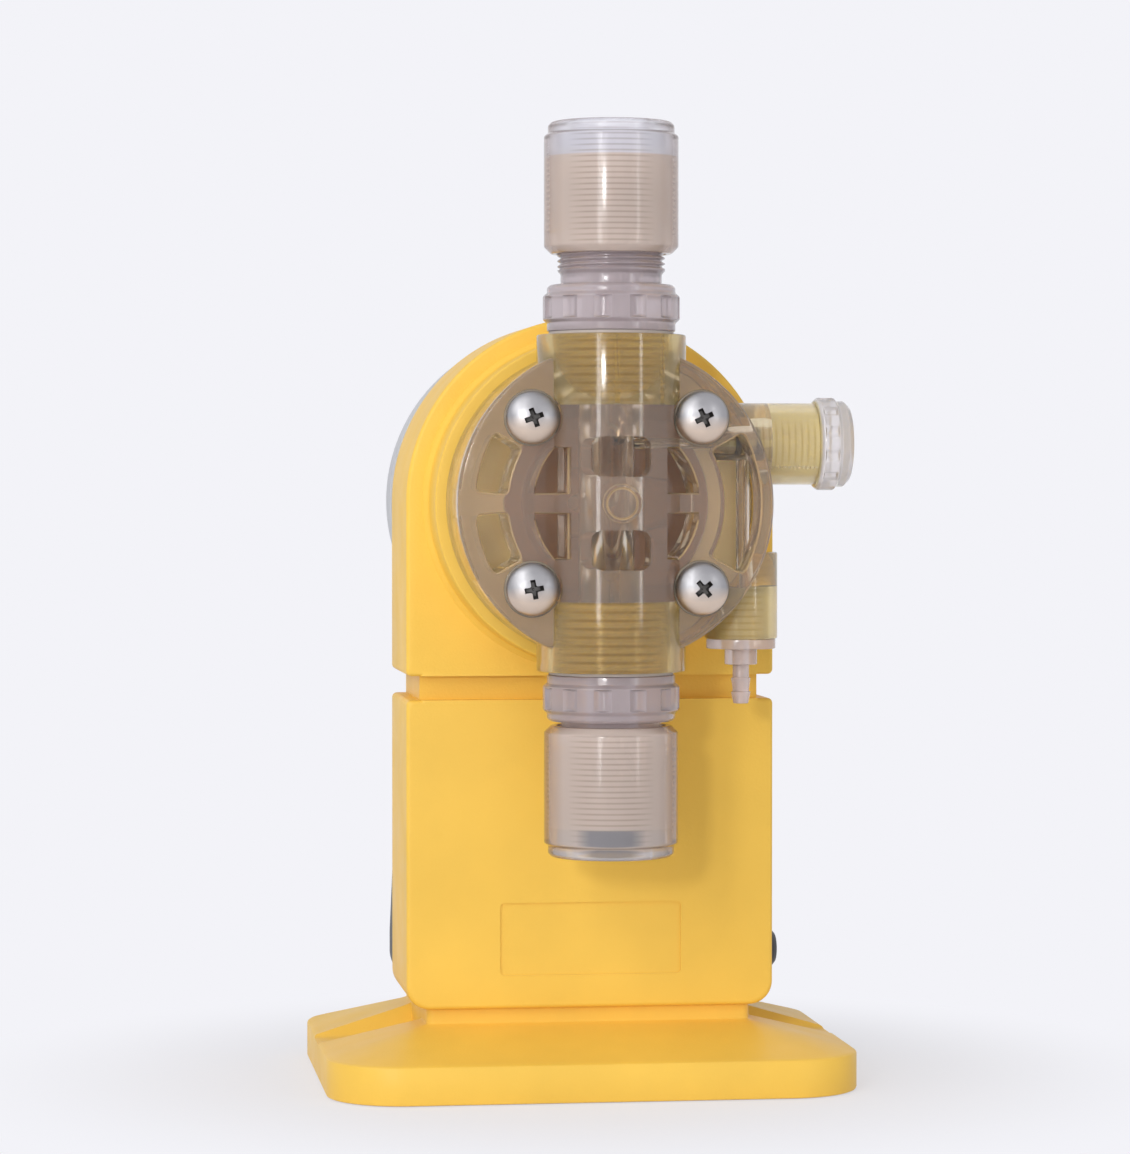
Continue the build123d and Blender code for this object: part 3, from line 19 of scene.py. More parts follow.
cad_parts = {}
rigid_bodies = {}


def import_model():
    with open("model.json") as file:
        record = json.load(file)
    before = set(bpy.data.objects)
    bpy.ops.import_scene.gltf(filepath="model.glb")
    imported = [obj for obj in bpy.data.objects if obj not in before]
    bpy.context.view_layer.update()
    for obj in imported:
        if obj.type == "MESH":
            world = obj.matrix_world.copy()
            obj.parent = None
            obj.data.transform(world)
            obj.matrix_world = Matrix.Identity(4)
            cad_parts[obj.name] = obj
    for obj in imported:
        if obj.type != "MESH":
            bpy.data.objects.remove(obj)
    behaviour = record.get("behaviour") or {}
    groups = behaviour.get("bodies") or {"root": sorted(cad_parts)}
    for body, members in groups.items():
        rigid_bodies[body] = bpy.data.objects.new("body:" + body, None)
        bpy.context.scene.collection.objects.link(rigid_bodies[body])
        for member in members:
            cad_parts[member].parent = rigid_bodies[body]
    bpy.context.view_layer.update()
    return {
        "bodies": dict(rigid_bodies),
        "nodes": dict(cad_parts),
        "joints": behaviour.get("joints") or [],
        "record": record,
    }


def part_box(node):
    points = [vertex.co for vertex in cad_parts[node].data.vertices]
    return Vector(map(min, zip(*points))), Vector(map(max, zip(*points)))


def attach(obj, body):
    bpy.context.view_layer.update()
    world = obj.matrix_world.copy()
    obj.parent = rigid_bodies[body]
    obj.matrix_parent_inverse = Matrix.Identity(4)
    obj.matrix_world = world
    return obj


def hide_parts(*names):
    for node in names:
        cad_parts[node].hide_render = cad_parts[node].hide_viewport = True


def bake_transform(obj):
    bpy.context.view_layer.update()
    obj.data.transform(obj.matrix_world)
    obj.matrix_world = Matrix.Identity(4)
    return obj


MM = 0.001
LOG = logging.getLogger("metering_pump")

CLEARANCE = 0.06
SHARP = 32.0
ON_CREST = 1e-3
HEAD_Z = 138.8
TUBE_Y = -62.1
PORTS = (100.6, 177.0)
ARM_Y = -54.6
BLEED_Z = 152.4
RETURN_X = 31.3
SCREW_OFFSET = 19.25
SIDES = (-1, 1)
SCREWS = [(x * SCREW_OFFSET, HEAD_Z + z * SCREW_OFFSET) for x in SIDES for z in SIDES]

Points = np.ndarray
Colour = tuple[float, float, float, float]
Piece = bpy.types.Object
Socket = bpy.types.NodeSocket
Pair = tuple[float, float]
Triple = tuple[float, float, float]


class Axis(Enum):
    """Turning axes used on the pump: (along, across, side) unit vectors."""

    UP = ((0, 0, 1), (1, 0, 0), (0, 1, 0))
    DEPTH = ((0, 1, 0), (0, 0, 1), (1, 0, 0))
    WIDTH = ((1, 0, 0), (0, 1, 0), (0, 0, 1))


def linear(red: int, green: int, blue: int) -> Colour:
    """Turn an 8-bit display colour into scene-linear RGBA.

    Args:
        red: Red, 0 to 255.
        green: Green, 0 to 255.
        blue: Blue, 0 to 255.

    Returns:
        The colour with alpha 1.
    """
    display = np.array([red, green, blue]) / 255.0
    low, high = display / 12.92, ((display + 0.055) / 1.055) ** 2.4
    values = np.where(display <= 0.04045, low, high)
    return (*[float(v) for v in values], 1.0)


# ---------------------------------------------------------------- finishes
class Recipe:
    """A material under construction: a Principled shader and helpers to feed it."""

    def __init__(self, name: str) -> None:
        """Start an empty material with a Principled shader."""
        self.material = bpy.data.materials.new(name)
        self.material.use_nodes = True
        self.tree = self.material.node_tree
        self.tree.nodes.clear()
        self.shader = self.add("ShaderNodeBsdfPrincipled")
        self.output = self.add("ShaderNodeOutputMaterial")
        self.link(self.shader.outputs[0], self.output.inputs["Surface"])
        self.place = self.add("ShaderNodeTexCoord").outputs["Object"]

    def add(self, kind: str, **settings: object) -> bpy.types.Node:
        """Add a node and set its properties."""
        node = self.tree.nodes.new(kind)
        for key, value in settings.items():
            setattr(node, key, value)
        return node

    def link(self, source: Socket, target: Socket) -> None:
        """Join two sockets."""
        self.tree.links.new(source, target)

    def noise(self, scale: float, detail: float = 2.0, stretch: Triple = (1, 1, 1)) -> Socket:
        """Fractal noise on the piece's own coordinates.

        Args:
            scale: Cells per metre.
            detail: Octaves.
            stretch: Scale of each axis before the noise.

        Returns:
            The noise value socket.
        """
        mapping = self.add("ShaderNodeMapping")
        mapping.inputs["Scale"].default_value = stretch
        self.link(self.place, mapping.inputs["Vector"])
        noise = self.add("ShaderNodeTexNoise")
        noise.inputs["Scale"].default_value = scale
        noise.inputs["Detail"].default_value = detail
        self.link(mapping.outputs["Vector"], noise.inputs["Vector"])
        return noise.outputs["Fac"]

    def span(self, value: Socket, source: Pair, target: Pair = (0.0, 1.0), kind: str = "LINEAR") -> Socket:
        """Map a span of values onto another, held at its ends.

        Args:
            value: Socket with the value.
            source: First and last value.
            target: What they become.
            kind: How the values between them run.

        Returns:
            The mapped value's socket.
        """
        node = self.add("ShaderNodeMapRange", interpolation_type=kind)
        for name, number in zip(("From Min", "From Max", "To Min", "To Max"), (*source, *target)):
            node.inputs[name].default_value = number
        self.link(value, node.inputs["Value"])
        return node.outputs["Result"]

    def ramp(self, value: Socket, low: float, high: float) -> Socket:
        """Map a noise value, which stays near 0.5, onto a range.

        Args:
            value: Socket with the noise.
            low: Lowest result.
            high: Highest result.

        Returns:
            The mapped value's socket.
        """
        return self.span(value, (0.3, 0.7), (low, high))

    def maths(self, operation: str, first: Socket, second: Socket | float | None = None) -> Socket:
        """Work on one or two values.

        Args:
            operation: Blender's name of what is done.
            first: Socket with the first value.
            second: Socket or number; None where the operation takes one value.

        Returns:
            The result's socket.
        """
        node = self.add("ShaderNodeMath", operation=operation)
        self.link(first, node.inputs[0])
        if isinstance(second, float):
            node.inputs[1].default_value = second
        elif second is not None:
            self.link(second, node.inputs[1])
        return node.outputs[0]

    def along(self, axis: Triple) -> Socket:
        """Place along a direction, in metres."""
        node = self.add("ShaderNodeVectorMath", operation="DOT_PRODUCT")
        node.inputs[1].default_value = axis
        self.link(self.place, node.inputs[0])
        return node.outputs["Value"]

    def near(self, axis: Triple, centre_mm: float, half_mm: float, soft_mm: float) -> Socket:
        """One close to a plane, nought away from it.

        Args:
            axis: Normal of the plane.
            centre_mm: Where the plane lies along the axis.
            half_mm: Distance up to which the value is one.
            soft_mm: Further distance over which it falls to nought.

        Returns:
            The value's socket.
        """
        away = self.maths("ABSOLUTE", self.maths("SUBTRACT", self.along(axis), centre_mm * MM))
        return self.span(away, (half_mm * MM, (half_mm + soft_mm) * MM), (1.0, 0.0))

    def blend(self, value: Socket, first: Colour, second: Colour) -> None:
        """Feed the base colour with a blend of two colours.

        Args:
            value: Socket with the noise that blends them.
            first: Colour at its low values.
            second: Colour at its high values.
        """
        node = self.add("ShaderNodeMix", data_type="RGBA")
        node.inputs["A"].default_value = first
        node.inputs["B"].default_value = second
        self.link(self.ramp(value, 0.0, 1.0), node.inputs["Factor"])
        self.link(node.outputs["Result"], self.shader.inputs["Base Color"])

    def tint(self, share: Socket, colour: Colour, kind: str = "MIX") -> None:
        """Blend a colour over what feeds the base colour.

        Args:
            share: Socket with the share of the blend.
            colour: The colour.
            kind: How the two colours combine.
        """
        base = self.shader.inputs["Base Color"]
        node = self.add("ShaderNodeMix", data_type="RGBA", blend_type=kind)
        self.link(share, node.inputs["Factor"])
        self.link(base.links[0].from_socket, node.inputs["A"])
        node.inputs["B"].default_value = colour
        self.link(node.outputs["Result"], base)

    def relief(self, value: Socket, height_mm: float) -> None:
        """Raise the surface by a value times a height."""
        node = self.add("ShaderNodeBump")
        node.inputs["Distance"].default_value = height_mm * MM
        node.inputs["Strength"].default_value = 1.0
        self.link(value, node.inputs["Height"])
        self.link(node.outputs["Normal"], self.shader.inputs["Normal"])

    def worn(self, colour: Colour, scale: float, detail: float, least: float, most: float) -> None:
        """Let the base colour drift slowly between a darker and a lighter shade of one colour.

        Args:
            colour: The colour.
            scale: Cells of the drift per metre.
            detail: Octaves of the drift.
            least: Factor on the colour at its darkest.
            most: Factor on the colour at its lightest.
        """
        self.blend(self.noise(scale, detail), shade(colour, least), shade(colour, most))

    def satin(self, scale: float, detail: float, least: float, most: float) -> None:
        """Let the roughness drift between two values.

        Args:
            scale: Cells of the drift per metre.
            detail: Octaves of the drift.
            least: Lowest roughness.
            most: Highest roughness.
        """
        self.link(self.ramp(self.noise(scale, detail), least, most), self.shader.inputs["Roughness"])

    def put(self, **values: object) -> None:
        """Set shader sockets by name; underscores stand for spaces."""
        for key, value in values.items():
            self.shader.inputs[key.replace("_", " ")].default_value = value


def shade(colour: Colour, factor: float) -> Colour:
    """Scale a colour's brightness."""
    return (*[float(min(c * factor, 1.0)) for c in colour[:3]], 1.0)


@dataclass(frozen=True)
class MouldedPlastic:
    """Opaque moulded plastic: fine spark-eroded grain, slow colour drift, satin sheen."""

    name: str
    colour: Colour
    roughness: float = 0.45
    grain_mm: float = 0.035
    gloss: float = 0.5
    grain_scale: float = 1500.0
    drift: float = 0.06

    def build(self) -> bpy.types.Material:
        """Make the material."""
        recipe = Recipe(self.name)
        recipe.worn(self.colour, 28.0, 3.0, 1.0 - self.drift, 1.0 + self.drift)
        recipe.satin(90.0, 4.0, self.roughness - 0.05, self.roughness + 0.06)
        recipe.relief(recipe.noise(self.grain_scale, 3.0), self.grain_mm)
        recipe.put(IOR=1.49, Specular_IOR_Level=self.gloss)
        return recipe.material


@dataclass(frozen=True)
class Film:
    """Amber sealing film on the part of a piece near a plane, such as its screwed shank."""

    axis: Triple
    centre_mm: float
    half_mm: float
    tint: Colour

    def lay(self, recipe: Recipe) -> None:
        """Blend the film's tint over what feeds the base colour."""
        recipe.tint(recipe.near(self.axis, self.centre_mm, self.half_mm, 0.4), self.tint)


@dataclass(frozen=True)
class Within:
    """What shows dimly through a round wall: thread crests, a clamp ring, and painted shade on the flanks.

    Args:
        pitch_mm: Distance between thread crests along the piece.
        crest: Factor on the colour over a thread crest.
        axis: Direction along the thread.
        ring: Colour of the ring through the wall; None leaves it out.
        ring_mm: Height of the ring's middle.
        half_mm: Half of the ring's height.
        painted_flank_shade: Factor on the colour, a painted shade where the wall turns away; None leaves it
            out.
    """

    pitch_mm: float
    crest: Colour = linear(196, 184, 176)
    axis: Triple = (0.0, 0.0, 1.0)
    ring: Colour | None = None
    ring_mm: float = 0.0
    half_mm: float = 0.0
    painted_flank_shade: Colour | None = None

    def lay(self, recipe: Recipe) -> None:
        """Add crests, ring and the painted shade of the flanks to the base colour.

        Crests follow sin(2 pi height / pitch); crests and ring fade where the wall turns away from the eye.
        """
        facing = recipe.add("ShaderNodeLayerWeight").outputs["Facing"]
        turns = recipe.maths("MULTIPLY", recipe.along(self.axis), 2 * math.pi / (self.pitch_mm * MM))
        crest = recipe.span(recipe.maths("SINE", turns), (0.1, 1.0), (0.0, 0.5))
        square = recipe.span(facing, (0.07, 0.24), (1.0, 0.0))
        recipe.tint(recipe.maths("MULTIPLY", crest, square), self.crest, "MULTIPLY")
        if self.ring:
            near = recipe.near(self.axis, self.ring_mm, self.half_mm, 0.3)
            square = recipe.span(facing, (0.06, 0.16), (1.0, 0.12))
            recipe.tint(recipe.maths("MULTIPLY", near, square), self.ring)
        # painted shade: darker colour where the wall turns away from the eye
        if self.painted_flank_shade:
            recipe.tint(recipe.span(facing, (0.3, 0.75)), self.painted_flank_shade, "MULTIPLY")


@dataclass(frozen=True)
class ClearPlastic:
    """Clear moulded plastic: tinted, slightly hazy, with faint flow marks."""

    name: str
    tint: Colour
    clarity: float = 0.85
    roughness: float = 0.08
    flow_mm: float = 0.02
    ior: float = 1.49
    coat: float = 0.0
    film: Film | None = None
    within: Within | None = None

    def build(self) -> bpy.types.Material:
        """Make the material."""
        recipe = Recipe(self.name)
        recipe.worn(self.tint, 60.0, 2.0, 0.95, 1.04)
        for layer in (self.film, self.within):
            if layer:
                layer.lay(recipe)
        recipe.satin(140.0, 3.0, self.roughness * 0.7, self.roughness * 1.4)
        recipe.relief(recipe.noise(110.0, 2.0, (1.0, 1.0, 0.3)), self.flow_mm)
        recipe.put(IOR=self.ior, Transmission_Weight=self.clarity, Coat_Weight=self.coat, Coat_Roughness=0.16)
        return recipe.material


@dataclass(frozen=True)
class Metal:
    """Machined or polished metal with fine tool marks."""

    name: str
    colour: Colour
    roughness: float = 0.2
    marks_mm: float = 0.004
    marks_scale: float = 900.0
    # painted reflection: tint for the faces that look down; None leaves it out
    painted_underside_reflection: Colour | None = None

    def paint_underside_reflection(self, recipe: Recipe) -> None:
        """Paint a beige reflection into the colour of the faces that look down."""
        parts = recipe.add("ShaderNodeSeparateXYZ")
        recipe.link(recipe.add("ShaderNodeTexCoord").outputs["Normal"], parts.inputs[0])
        recipe.tint(recipe.span(parts.outputs["Z"], (0.05, -0.3)), self.painted_underside_reflection)

    def build(self) -> bpy.types.Material:
        """Make the material."""
        recipe = Recipe(self.name)
        recipe.worn(self.colour, 160.0, 3.0, 0.92, 1.05)
        recipe.satin(400.0, 4.0, self.roughness * 0.8, self.roughness * 1.3)
        recipe.relief(recipe.noise(self.marks_scale, 3.0), self.marks_mm)
        recipe.put(Metallic=1.0)
        if self.painted_underside_reflection:
            self.paint_underside_reflection(recipe)
        return recipe.material


@dataclass(frozen=True)
class Printed:
    """Printed scale marks, thin ink with a slight colour drift."""

    name: str
    colour: Colour

    def build(self) -> bpy.types.Material:
        """Make the material."""
        recipe = Recipe(self.name)
        recipe.worn(self.colour, 700.0, 3.0, 0.8, 1.25)
        recipe.put(Roughness=0.5)
        return recipe.material


class Finish(Enum):
    """Every finish on the pump."""

    YELLOW = MouldedPlastic("yellow_moulding", linear(243, 198, 84), 0.42, 0.045, 0.3)
    CHARCOAL = MouldedPlastic("charcoal_moulding", linear(48, 50, 54), 0.5, 0.04)
    LIGHT_GREY = MouldedPlastic("light_grey_moulding", linear(196, 198, 203), 0.45, 0.02)
    COMPONENT = MouldedPlastic("component_case", linear(34, 34, 36), 0.5, 0.02)
    BOARD = MouldedPlastic("solder_mask", linear(24, 92, 52), 0.35, 0.01)
    PTFE = MouldedPlastic("white_fluoroplastic", linear(226, 224, 218), 0.4, 0.01)
    BLUE_GREY = MouldedPlastic("blue_grey_ring", linear(92, 104, 124), 0.4, 0.015)
    CERAMIC = MouldedPlastic("ground_ceramic", linear(226, 222, 212), 0.15, 0.003)
    RUBBER = MouldedPlastic("black_rubber", linear(30, 31, 34), 0.6, 0.02)
    HEAD = ClearPlastic("clear_head_plastic", linear(222, 204, 186), 0.84, 0.1)
    POLISHED = ClearPlastic("polished_head_core", linear(255, 250, 238), 0.99, 0.04)
    THREADED = ClearPlastic(
        "amber_threaded_bore", linear(250, 226, 98), 0.8, 0.12, within=Within(1.9, linear(188, 172, 104)),
    )
    # painted highlight: a lighter, hazier clear finish for pocket mouths and boss rings, standing in for
    # light caught by those edges
    EDGE = ClearPlastic("bright_pocket_edge", linear(214, 186, 146), 0.45, 0.2)
    ARM = ClearPlastic(
        "clear_arm_plastic", linear(250, 236, 200), 0.74, 0.1,
        within=Within(1.5, linear(204, 184, 128), (1.0, 0.0, 0.0)),
    )
    RETURN_ARM = ClearPlastic(
        "clear_return_arm_plastic", linear(248, 230, 184), 0.74, 0.1,
        within=Within(1.5, linear(204, 184, 128)),
    )
    PORT = ClearPlastic(
        "amber_port_wall", linear(226, 206, 152), 0.84, 0.1, within=Within(1.9, linear(204, 180, 104)),
    )
    ARM_BORE = ClearPlastic("amber_arm_bore", linear(255, 236, 146), 0.55, 0.12)
    BODY = ClearPlastic(
        "clear_lilac_plastic", linear(208, 196, 200), 0.56, 0.16,
        film=Film((0.0, 0.0, 1.0), HEAD_Z, 38.2, linear(240, 206, 54)),
    )
    # painted shade: the nut's flanks get a darker colour through its Within layer
    NUT = ClearPlastic(
        "clear_nut_plastic", linear(244, 244, 252), 0.62, 0.1, ior=1.12, coat=0.6,
        film=Film((0.0, 0.0, 1.0), HEAD_Z, 78.2, linear(242, 228, 218)),
        within=Within(
            1.25, ring=linear(172, 170, 174), ring_mm=61.6, half_mm=3.6, painted_flank_shade=linear(186, 170, 160),
        ),
    )
    BACKING = MouldedPlastic("tan_backing", linear(255, 222, 156), 0.5, 0.02)
    DIAPHRAGM = MouldedPlastic("brown_diaphragm", linear(172, 118, 74), 0.45, 0.01)
    BLEED = ClearPlastic(
        "clear_bleed_plastic", linear(240, 236, 238), 0.62, 0.12,
        film=Film((1.0, 0.0, 0.0), 36.2, 12.0, linear(254, 242, 180)),
    )
    NOZZLE = ClearPlastic(
        "clear_nozzle_plastic", linear(240, 226, 222), 0.6, 0.12,
        film=Film((0.0, 0.0, 1.0), 118.0, 10.2, linear(250, 234, 130)),
    )
    SILICONE = MouldedPlastic("pale_silicone", linear(196, 186, 180), 0.5, 0.01)
    # painted reflection: the steel's downward faces get a beige tint in place of a real reflection
    STEEL = Metal("polished_stainless", linear(164, 163, 165), 0.42, painted_underside_reflection=linear(214, 196, 180))
    WASHER = Metal("dull_washer", linear(128, 118, 104), 0.5)
    # painted shade: darker metal for the faces deep in the screws' cross recesses
    SOILED = Metal("soiled_recess", linear(104, 102, 100), 0.5)
    ZINC = Metal("zinc_plate", linear(180, 182, 184), 0.32)
    IRON = Metal("soft_iron", linear(120, 120, 122), 0.4)
    BRASS = Metal("turned_brass", linear(200, 164, 92), 0.28)
    COPPER = Metal("copper_wire", linear(188, 108, 64), 0.3)
    INK = Printed("scale_ink", linear(44, 46, 52))
    PAINT = Printed("white_paint", linear(228, 228, 224))

    @property
    def material(self) -> bpy.types.Material:
        """The Blender material, made on first use."""
        return bpy.data.materials.get(self.value.name) or self.value.build()


# ---------------------------------------------------------------- surfaces
@dataclass(frozen=True)
class Station:
    """A turning axis through a point, in millimetres."""

    axis: Axis
    centre: Triple

    def place(self, radius: Points, height: Points, angle: Points) -> Points:
        """Cylinder coordinates to metres: centre + height along + radius in the turned direction.

        Args:
            radius: Distances from the axis.
            height: Places along it.
            angle: Turns about it, in radians.

        Returns:
            The points.
        """
        along, across, side = (np.array(v, float) for v in self.axis.value)
        origin = np.array(self.centre) * (1.0 - along)
        flat = radius[..., None] * (np.cos(angle)[..., None] * across + np.sin(angle)[..., None] * side)
        return (origin + height[..., None] * along + flat) * MM


def bend(first: Points, corner: Points, last: Points, steps: Points) -> Points:
    """Quadratic curve: (1 - s)^2 first + 2 s (1 - s) corner + s^2 last.

    Args:
        first: Where it starts.
        corner: The corner that it rounds.
        last: Where it ends.
        steps: Shares s of the way.

    Returns:
        The points.
    """
    return (1 - steps) ** 2 * first + 2 * steps * (1 - steps) * corner + steps**2 * last


def eased(outline: Sequence[Pair], radius: float, closed: bool) -> Points:
    """Round an outline's corners, each by a quadratic curve through four points.

    Args:
        outline: Corner points as (radius, height).
        radius: Longest cut back from a corner.
        closed: Whether the last point joins the first.

    Returns:
        The rounded outline.
    """
    corners = np.array(outline, float)
    back = np.roll(corners, 1, axis=0) - corners
    ahead = np.roll(corners, -1, axis=0) - corners
    back_length = np.linalg.norm(back, axis=1, keepdims=True)
    ahead_length = np.linalg.norm(ahead, axis=1, keepdims=True)
    cut = np.minimum(radius, 0.45 * np.minimum(back_length, ahead_length))
    if not closed:
        cut[[0, -1]] = 0.0
    first = corners + back / np.maximum(back_length, 1e-9) * cut
    last = corners + ahead / np.maximum(ahead_length, 1e-9) * cut
    steps = np.linspace(0.0, 1.0, 4)[None, :, None]
    curve = bend(first[:, None], corners[:, None], last[:, None], steps)
    if closed:
        return curve.reshape(-1, 2)
    return np.vstack([corners[:1], curve[1:-1].reshape(-1, 2), corners[-1:]])


@dataclass(frozen=True)
class Thread:
    """Screw thread: a rounded triangle wave of height minus turned angle, cut on one cylinder."""

    crest: float
    low: float
    high: float
    pitch: float
    depth: float
    inward: bool = False

    def shape(self, radius: Points, height: Points, angle: Points) -> Points:
        """Radius after the cut: r -+ depth * clip(1.6 |2p - 1| - 0.3), p the phase, faded over one pitch.

        Args:
            radius: Distances from the axis.
            height: Places along it.
            angle: Turns about it, in radians.

        Returns:
            The new distances from the axis.
        """
        phase = (height / self.pitch - angle / (2 * np.pi)) % 1.0
        wave = np.clip(1.6 * np.abs(2 * phase - 1) - 0.3, 0, 1)
        start, end = (np.clip(run / self.pitch, 0, 1) for run in (height - self.low, self.high - height))
        cut = np.where(np.abs(radius - self.crest) < ON_CREST, wave * (start * end) * self.depth, 0.0)
        return radius + cut if self.inward else radius - cut


@dataclass(frozen=True)
class Lugs:
    """Hollows round a collar, between two heights."""

    crest: float
    low: float
    high: float
    count: int
    depth: float
    width: float = 0.5
    pitch: float = 0.8

    def shape(self, radius: Points, height: Points, angle: Points) -> Points:
        """Radius after the dips: r - depth * smoothstep of the place round the pitch.

        Args:
            radius: Distances from the axis.
            height: Places along it.
            angle: Turns about it, in radians.

        Returns:
            The new distances from the axis.
        """
        turn = (angle * self.count / (2 * np.pi)) % 1.0
        side = np.clip((self.width / 2 - np.abs(turn - 0.5)) * 9.0, 0, 1)
        level = np.clip((height - self.low) * 2.0, 0, 1) * np.clip((self.high - height) * 2.0, 0, 1)
        smooth = side * side * (3 - 2 * side)
        return np.where(np.abs(radius - self.crest) < ON_CREST, radius - self.depth * smooth * level, radius)


def densified(outline: Points, cut: "Thread | Lugs", closed: bool) -> Points:
    """Add points along the stretches of an outline that lie on a cut's crest.

    Args:
        outline: (radius, height) points.
        cut: The thread or the hollows; eight points go to each pitch.
        closed: Whether the outline is closed.

    Returns:
        The outline with the added points.
    """
    ends = np.roll(outline, -1, axis=0)
    length = np.linalg.norm(ends - outline, axis=1)
    on_crest = (np.abs(outline[:, 0] - cut.crest) < ON_CREST) & (np.abs(ends[:, 0] - cut.crest) < ON_CREST)
    counts = np.where(on_crest, np.maximum(np.ceil(8 * length / cut.pitch), 1), 1).astype(int)
    if not closed:
        counts[-1] = 1
    index = np.repeat(np.arange(len(outline)), counts)
    start = np.repeat(np.cumsum(counts) - counts, counts)
    share = ((np.arange(len(index)) - start) / counts[index])[:, None]
    return outline[index] * (1 - share) + ends[index] * share


def linked(name: str, data: bpy.types.ID) -> Piece:
    """Make an object of a mesh, lamp, camera or text and link it to the scene."""
    made = bpy.data.objects.new(name, data)
    bpy.context.scene.collection.objects.link(made)
    return made


def settled(name: str, mesh: bpy.types.Mesh, sharp: float) -> Piece:
    """Merge doubles, make normals consistent, smooth by angle and link the object.

    Args:
        name: Name of the object.
        mesh: The mesh to finish.
        sharp: Angle in degrees above which an edge stays sharp.

    Returns:
        The object.
    """
    work = bmesh.new()
    work.from_mesh(mesh)
    bmesh.ops.remove_doubles(work, verts=work.verts, dist=2e-6)
    bmesh.ops.recalc_face_normals(work, faces=work.faces)
    work.to_mesh(mesh)
    work.free()
    mesh.shade_smooth()
    mesh.set_sharp_from_angle(angle=math.radians(sharp))
    return linked(name, mesh)


def face_values(mesh: bpy.types.Mesh, kind: str) -> Points:
    """Middle or normal of every face, one row each."""
    values = np.empty(len(mesh.polygons) * 3)
    mesh.polygons.foreach_get(kind, values)
    return values.reshape(-1, 3)


def grid_faces(rows: int, columns: int, close_rows: bool, close_columns: bool) -> Points:
    """Quads of a grid of vertices, row by row.

    Args:
        rows: Number of rows.
        columns: Vertices in a row.
        close_rows: Whether the last row joins the first.
        close_columns: Whether each row's last vertex joins its first.

    Returns:
        Four vertex indices for each quad.
    """
    row = np.arange(rows if close_rows else rows - 1)
    column = np.arange(columns if close_columns else columns - 1)
    here, left = np.meshgrid(row * columns, column, indexing="ij")
    above, right = (here + columns) % (rows * columns), (left + 1) % columns
    return np.stack([here + left, above + left, above + right, here + right], axis=-1).reshape(-1, 4)


@dataclass
class Turned:
    """A turned piece: an outline of (radius, height) revolved about a station, then cut."""

    name: str
    station: Station
    outline: Sequence[Pair]
    closed: bool = False
    ease: float = 0.25
    segments: int = 96
    cuts: Sequence["Thread | Lugs"] = ()

    def build(self) -> Piece:
        """Revolve the outline: rows follow it, columns go round, and the cuts move the radius."""
        rows = eased(self.outline, self.ease, self.closed)
        for cut in self.cuts:
            rows = densified(rows, cut, self.closed)
        angle = np.linspace(0, 2 * np.pi, self.segments, endpoint=False)
        radius = np.repeat(rows[:, :1], self.segments, axis=1)
        height = np.repeat(rows[:, 1:], self.segments, axis=1)
        turned = np.repeat(angle[None, :], len(rows), axis=0)
        for cut in self.cuts:
            radius = cut.shape(radius, height, turned)
        points = self.station.place(radius, height, turned)
        mesh = bpy.data.meshes.new(self.name)
        faces = grid_faces(len(rows), self.segments, self.closed, True)
        mesh.from_pydata(points.reshape(-1, 3).tolist(), [], faces.tolist())
        return settled(self.name, mesh, SHARP)


def rod(radius: float, low: float, high: float) -> list[Pair]:
    """Outline of a solid round rod.

    Args:
        radius: Its radius.
        low: Where it starts.
        high: Where it ends.

    Returns:
        (radius, height) points.
    """
    return [(0, low), (radius, low), (radius, high), (0, high)]


def arc(centre: Pair, radius: float, start: float, end: float, count: int) -> Points:
    """Points of an arc.

    Args:
        centre: Its centre.
        radius: Its radius.
        start: Angle of the first point, in degrees.
        end: Angle of the last point, in degrees.
        count: Number of points.

    Returns:
        The points.
    """
    angle = np.radians(np.linspace(start, end, count))
    return np.array(centre) + radius * np.stack([np.cos(angle), np.sin(angle)], axis=1)


def rounded_rectangle(width: float, height: float, corner: float, centre: Pair = (0, 0)) -> Points:
    """Anticlockwise outline of a rounded rectangle, 13 points to a corner.

    Args:
        width: Its width.
        height: Its height.
        corner: Radius of its corners.
        centre: Its middle.

    Returns:
        The outline.
    """
    x, y = width / 2 - corner, height / 2 - corner
    spots = ((x, -y, -90), (x, y, 0), (-x, y, 90), (-x, -y, 180))
    return np.vstack([arc((centre[0] + a, centre[1] + b), corner, t, t + 90, 13) for a, b, t in spots])


def stack(name: str, rings: Sequence[tuple[Points, float]], plane: Axis) -> Piece:
    """Skin a row of outlines, each at its own depth or height, and close both ends.

    Args:
        name: Name of the object.
        rings: (outline, place along the axis), all with the same number of points.
        plane: DEPTH for outlines in X and Z, UP for X and Y, WIDTH for Y and Z.

    Returns:
        The object.
    """
    columns = {Axis.DEPTH: (0, 2, 1), Axis.UP: (0, 1, 2), Axis.WIDTH: (1, 2, 0)}[plane]
    count = len(rings[0][0])
    points = np.zeros((len(rings), count, 3))
    for row, (outline, place) in enumerate(rings):
        points[row, :, columns[0]], points[row, :, columns[1]] = outline.T
        points[row, :, columns[2]] = place
    sides = grid_faces(len(rings), count, False, True).tolist()
    caps = [list(range(count)), list(range((len(rings) - 1) * count, len(rings) * count))]
    mesh = bpy.data.meshes.new(name)
    mesh.from_pydata((points.reshape(-1, 3) * MM).tolist(), [], sides + caps)
    return settled(name, mesh, SHARP)


def bar(name: str, outline: Points, ends: Pair, plane: Axis) -> Piece:
    """One outline drawn straight between two places along an axis.

    Args:
        name: Name of the object.
        outline: The outline.
        ends: First and last place.
        plane: As for stack.

    Returns:
        The object.
    """
    return stack(name, [(outline, end) for end in ends], plane)


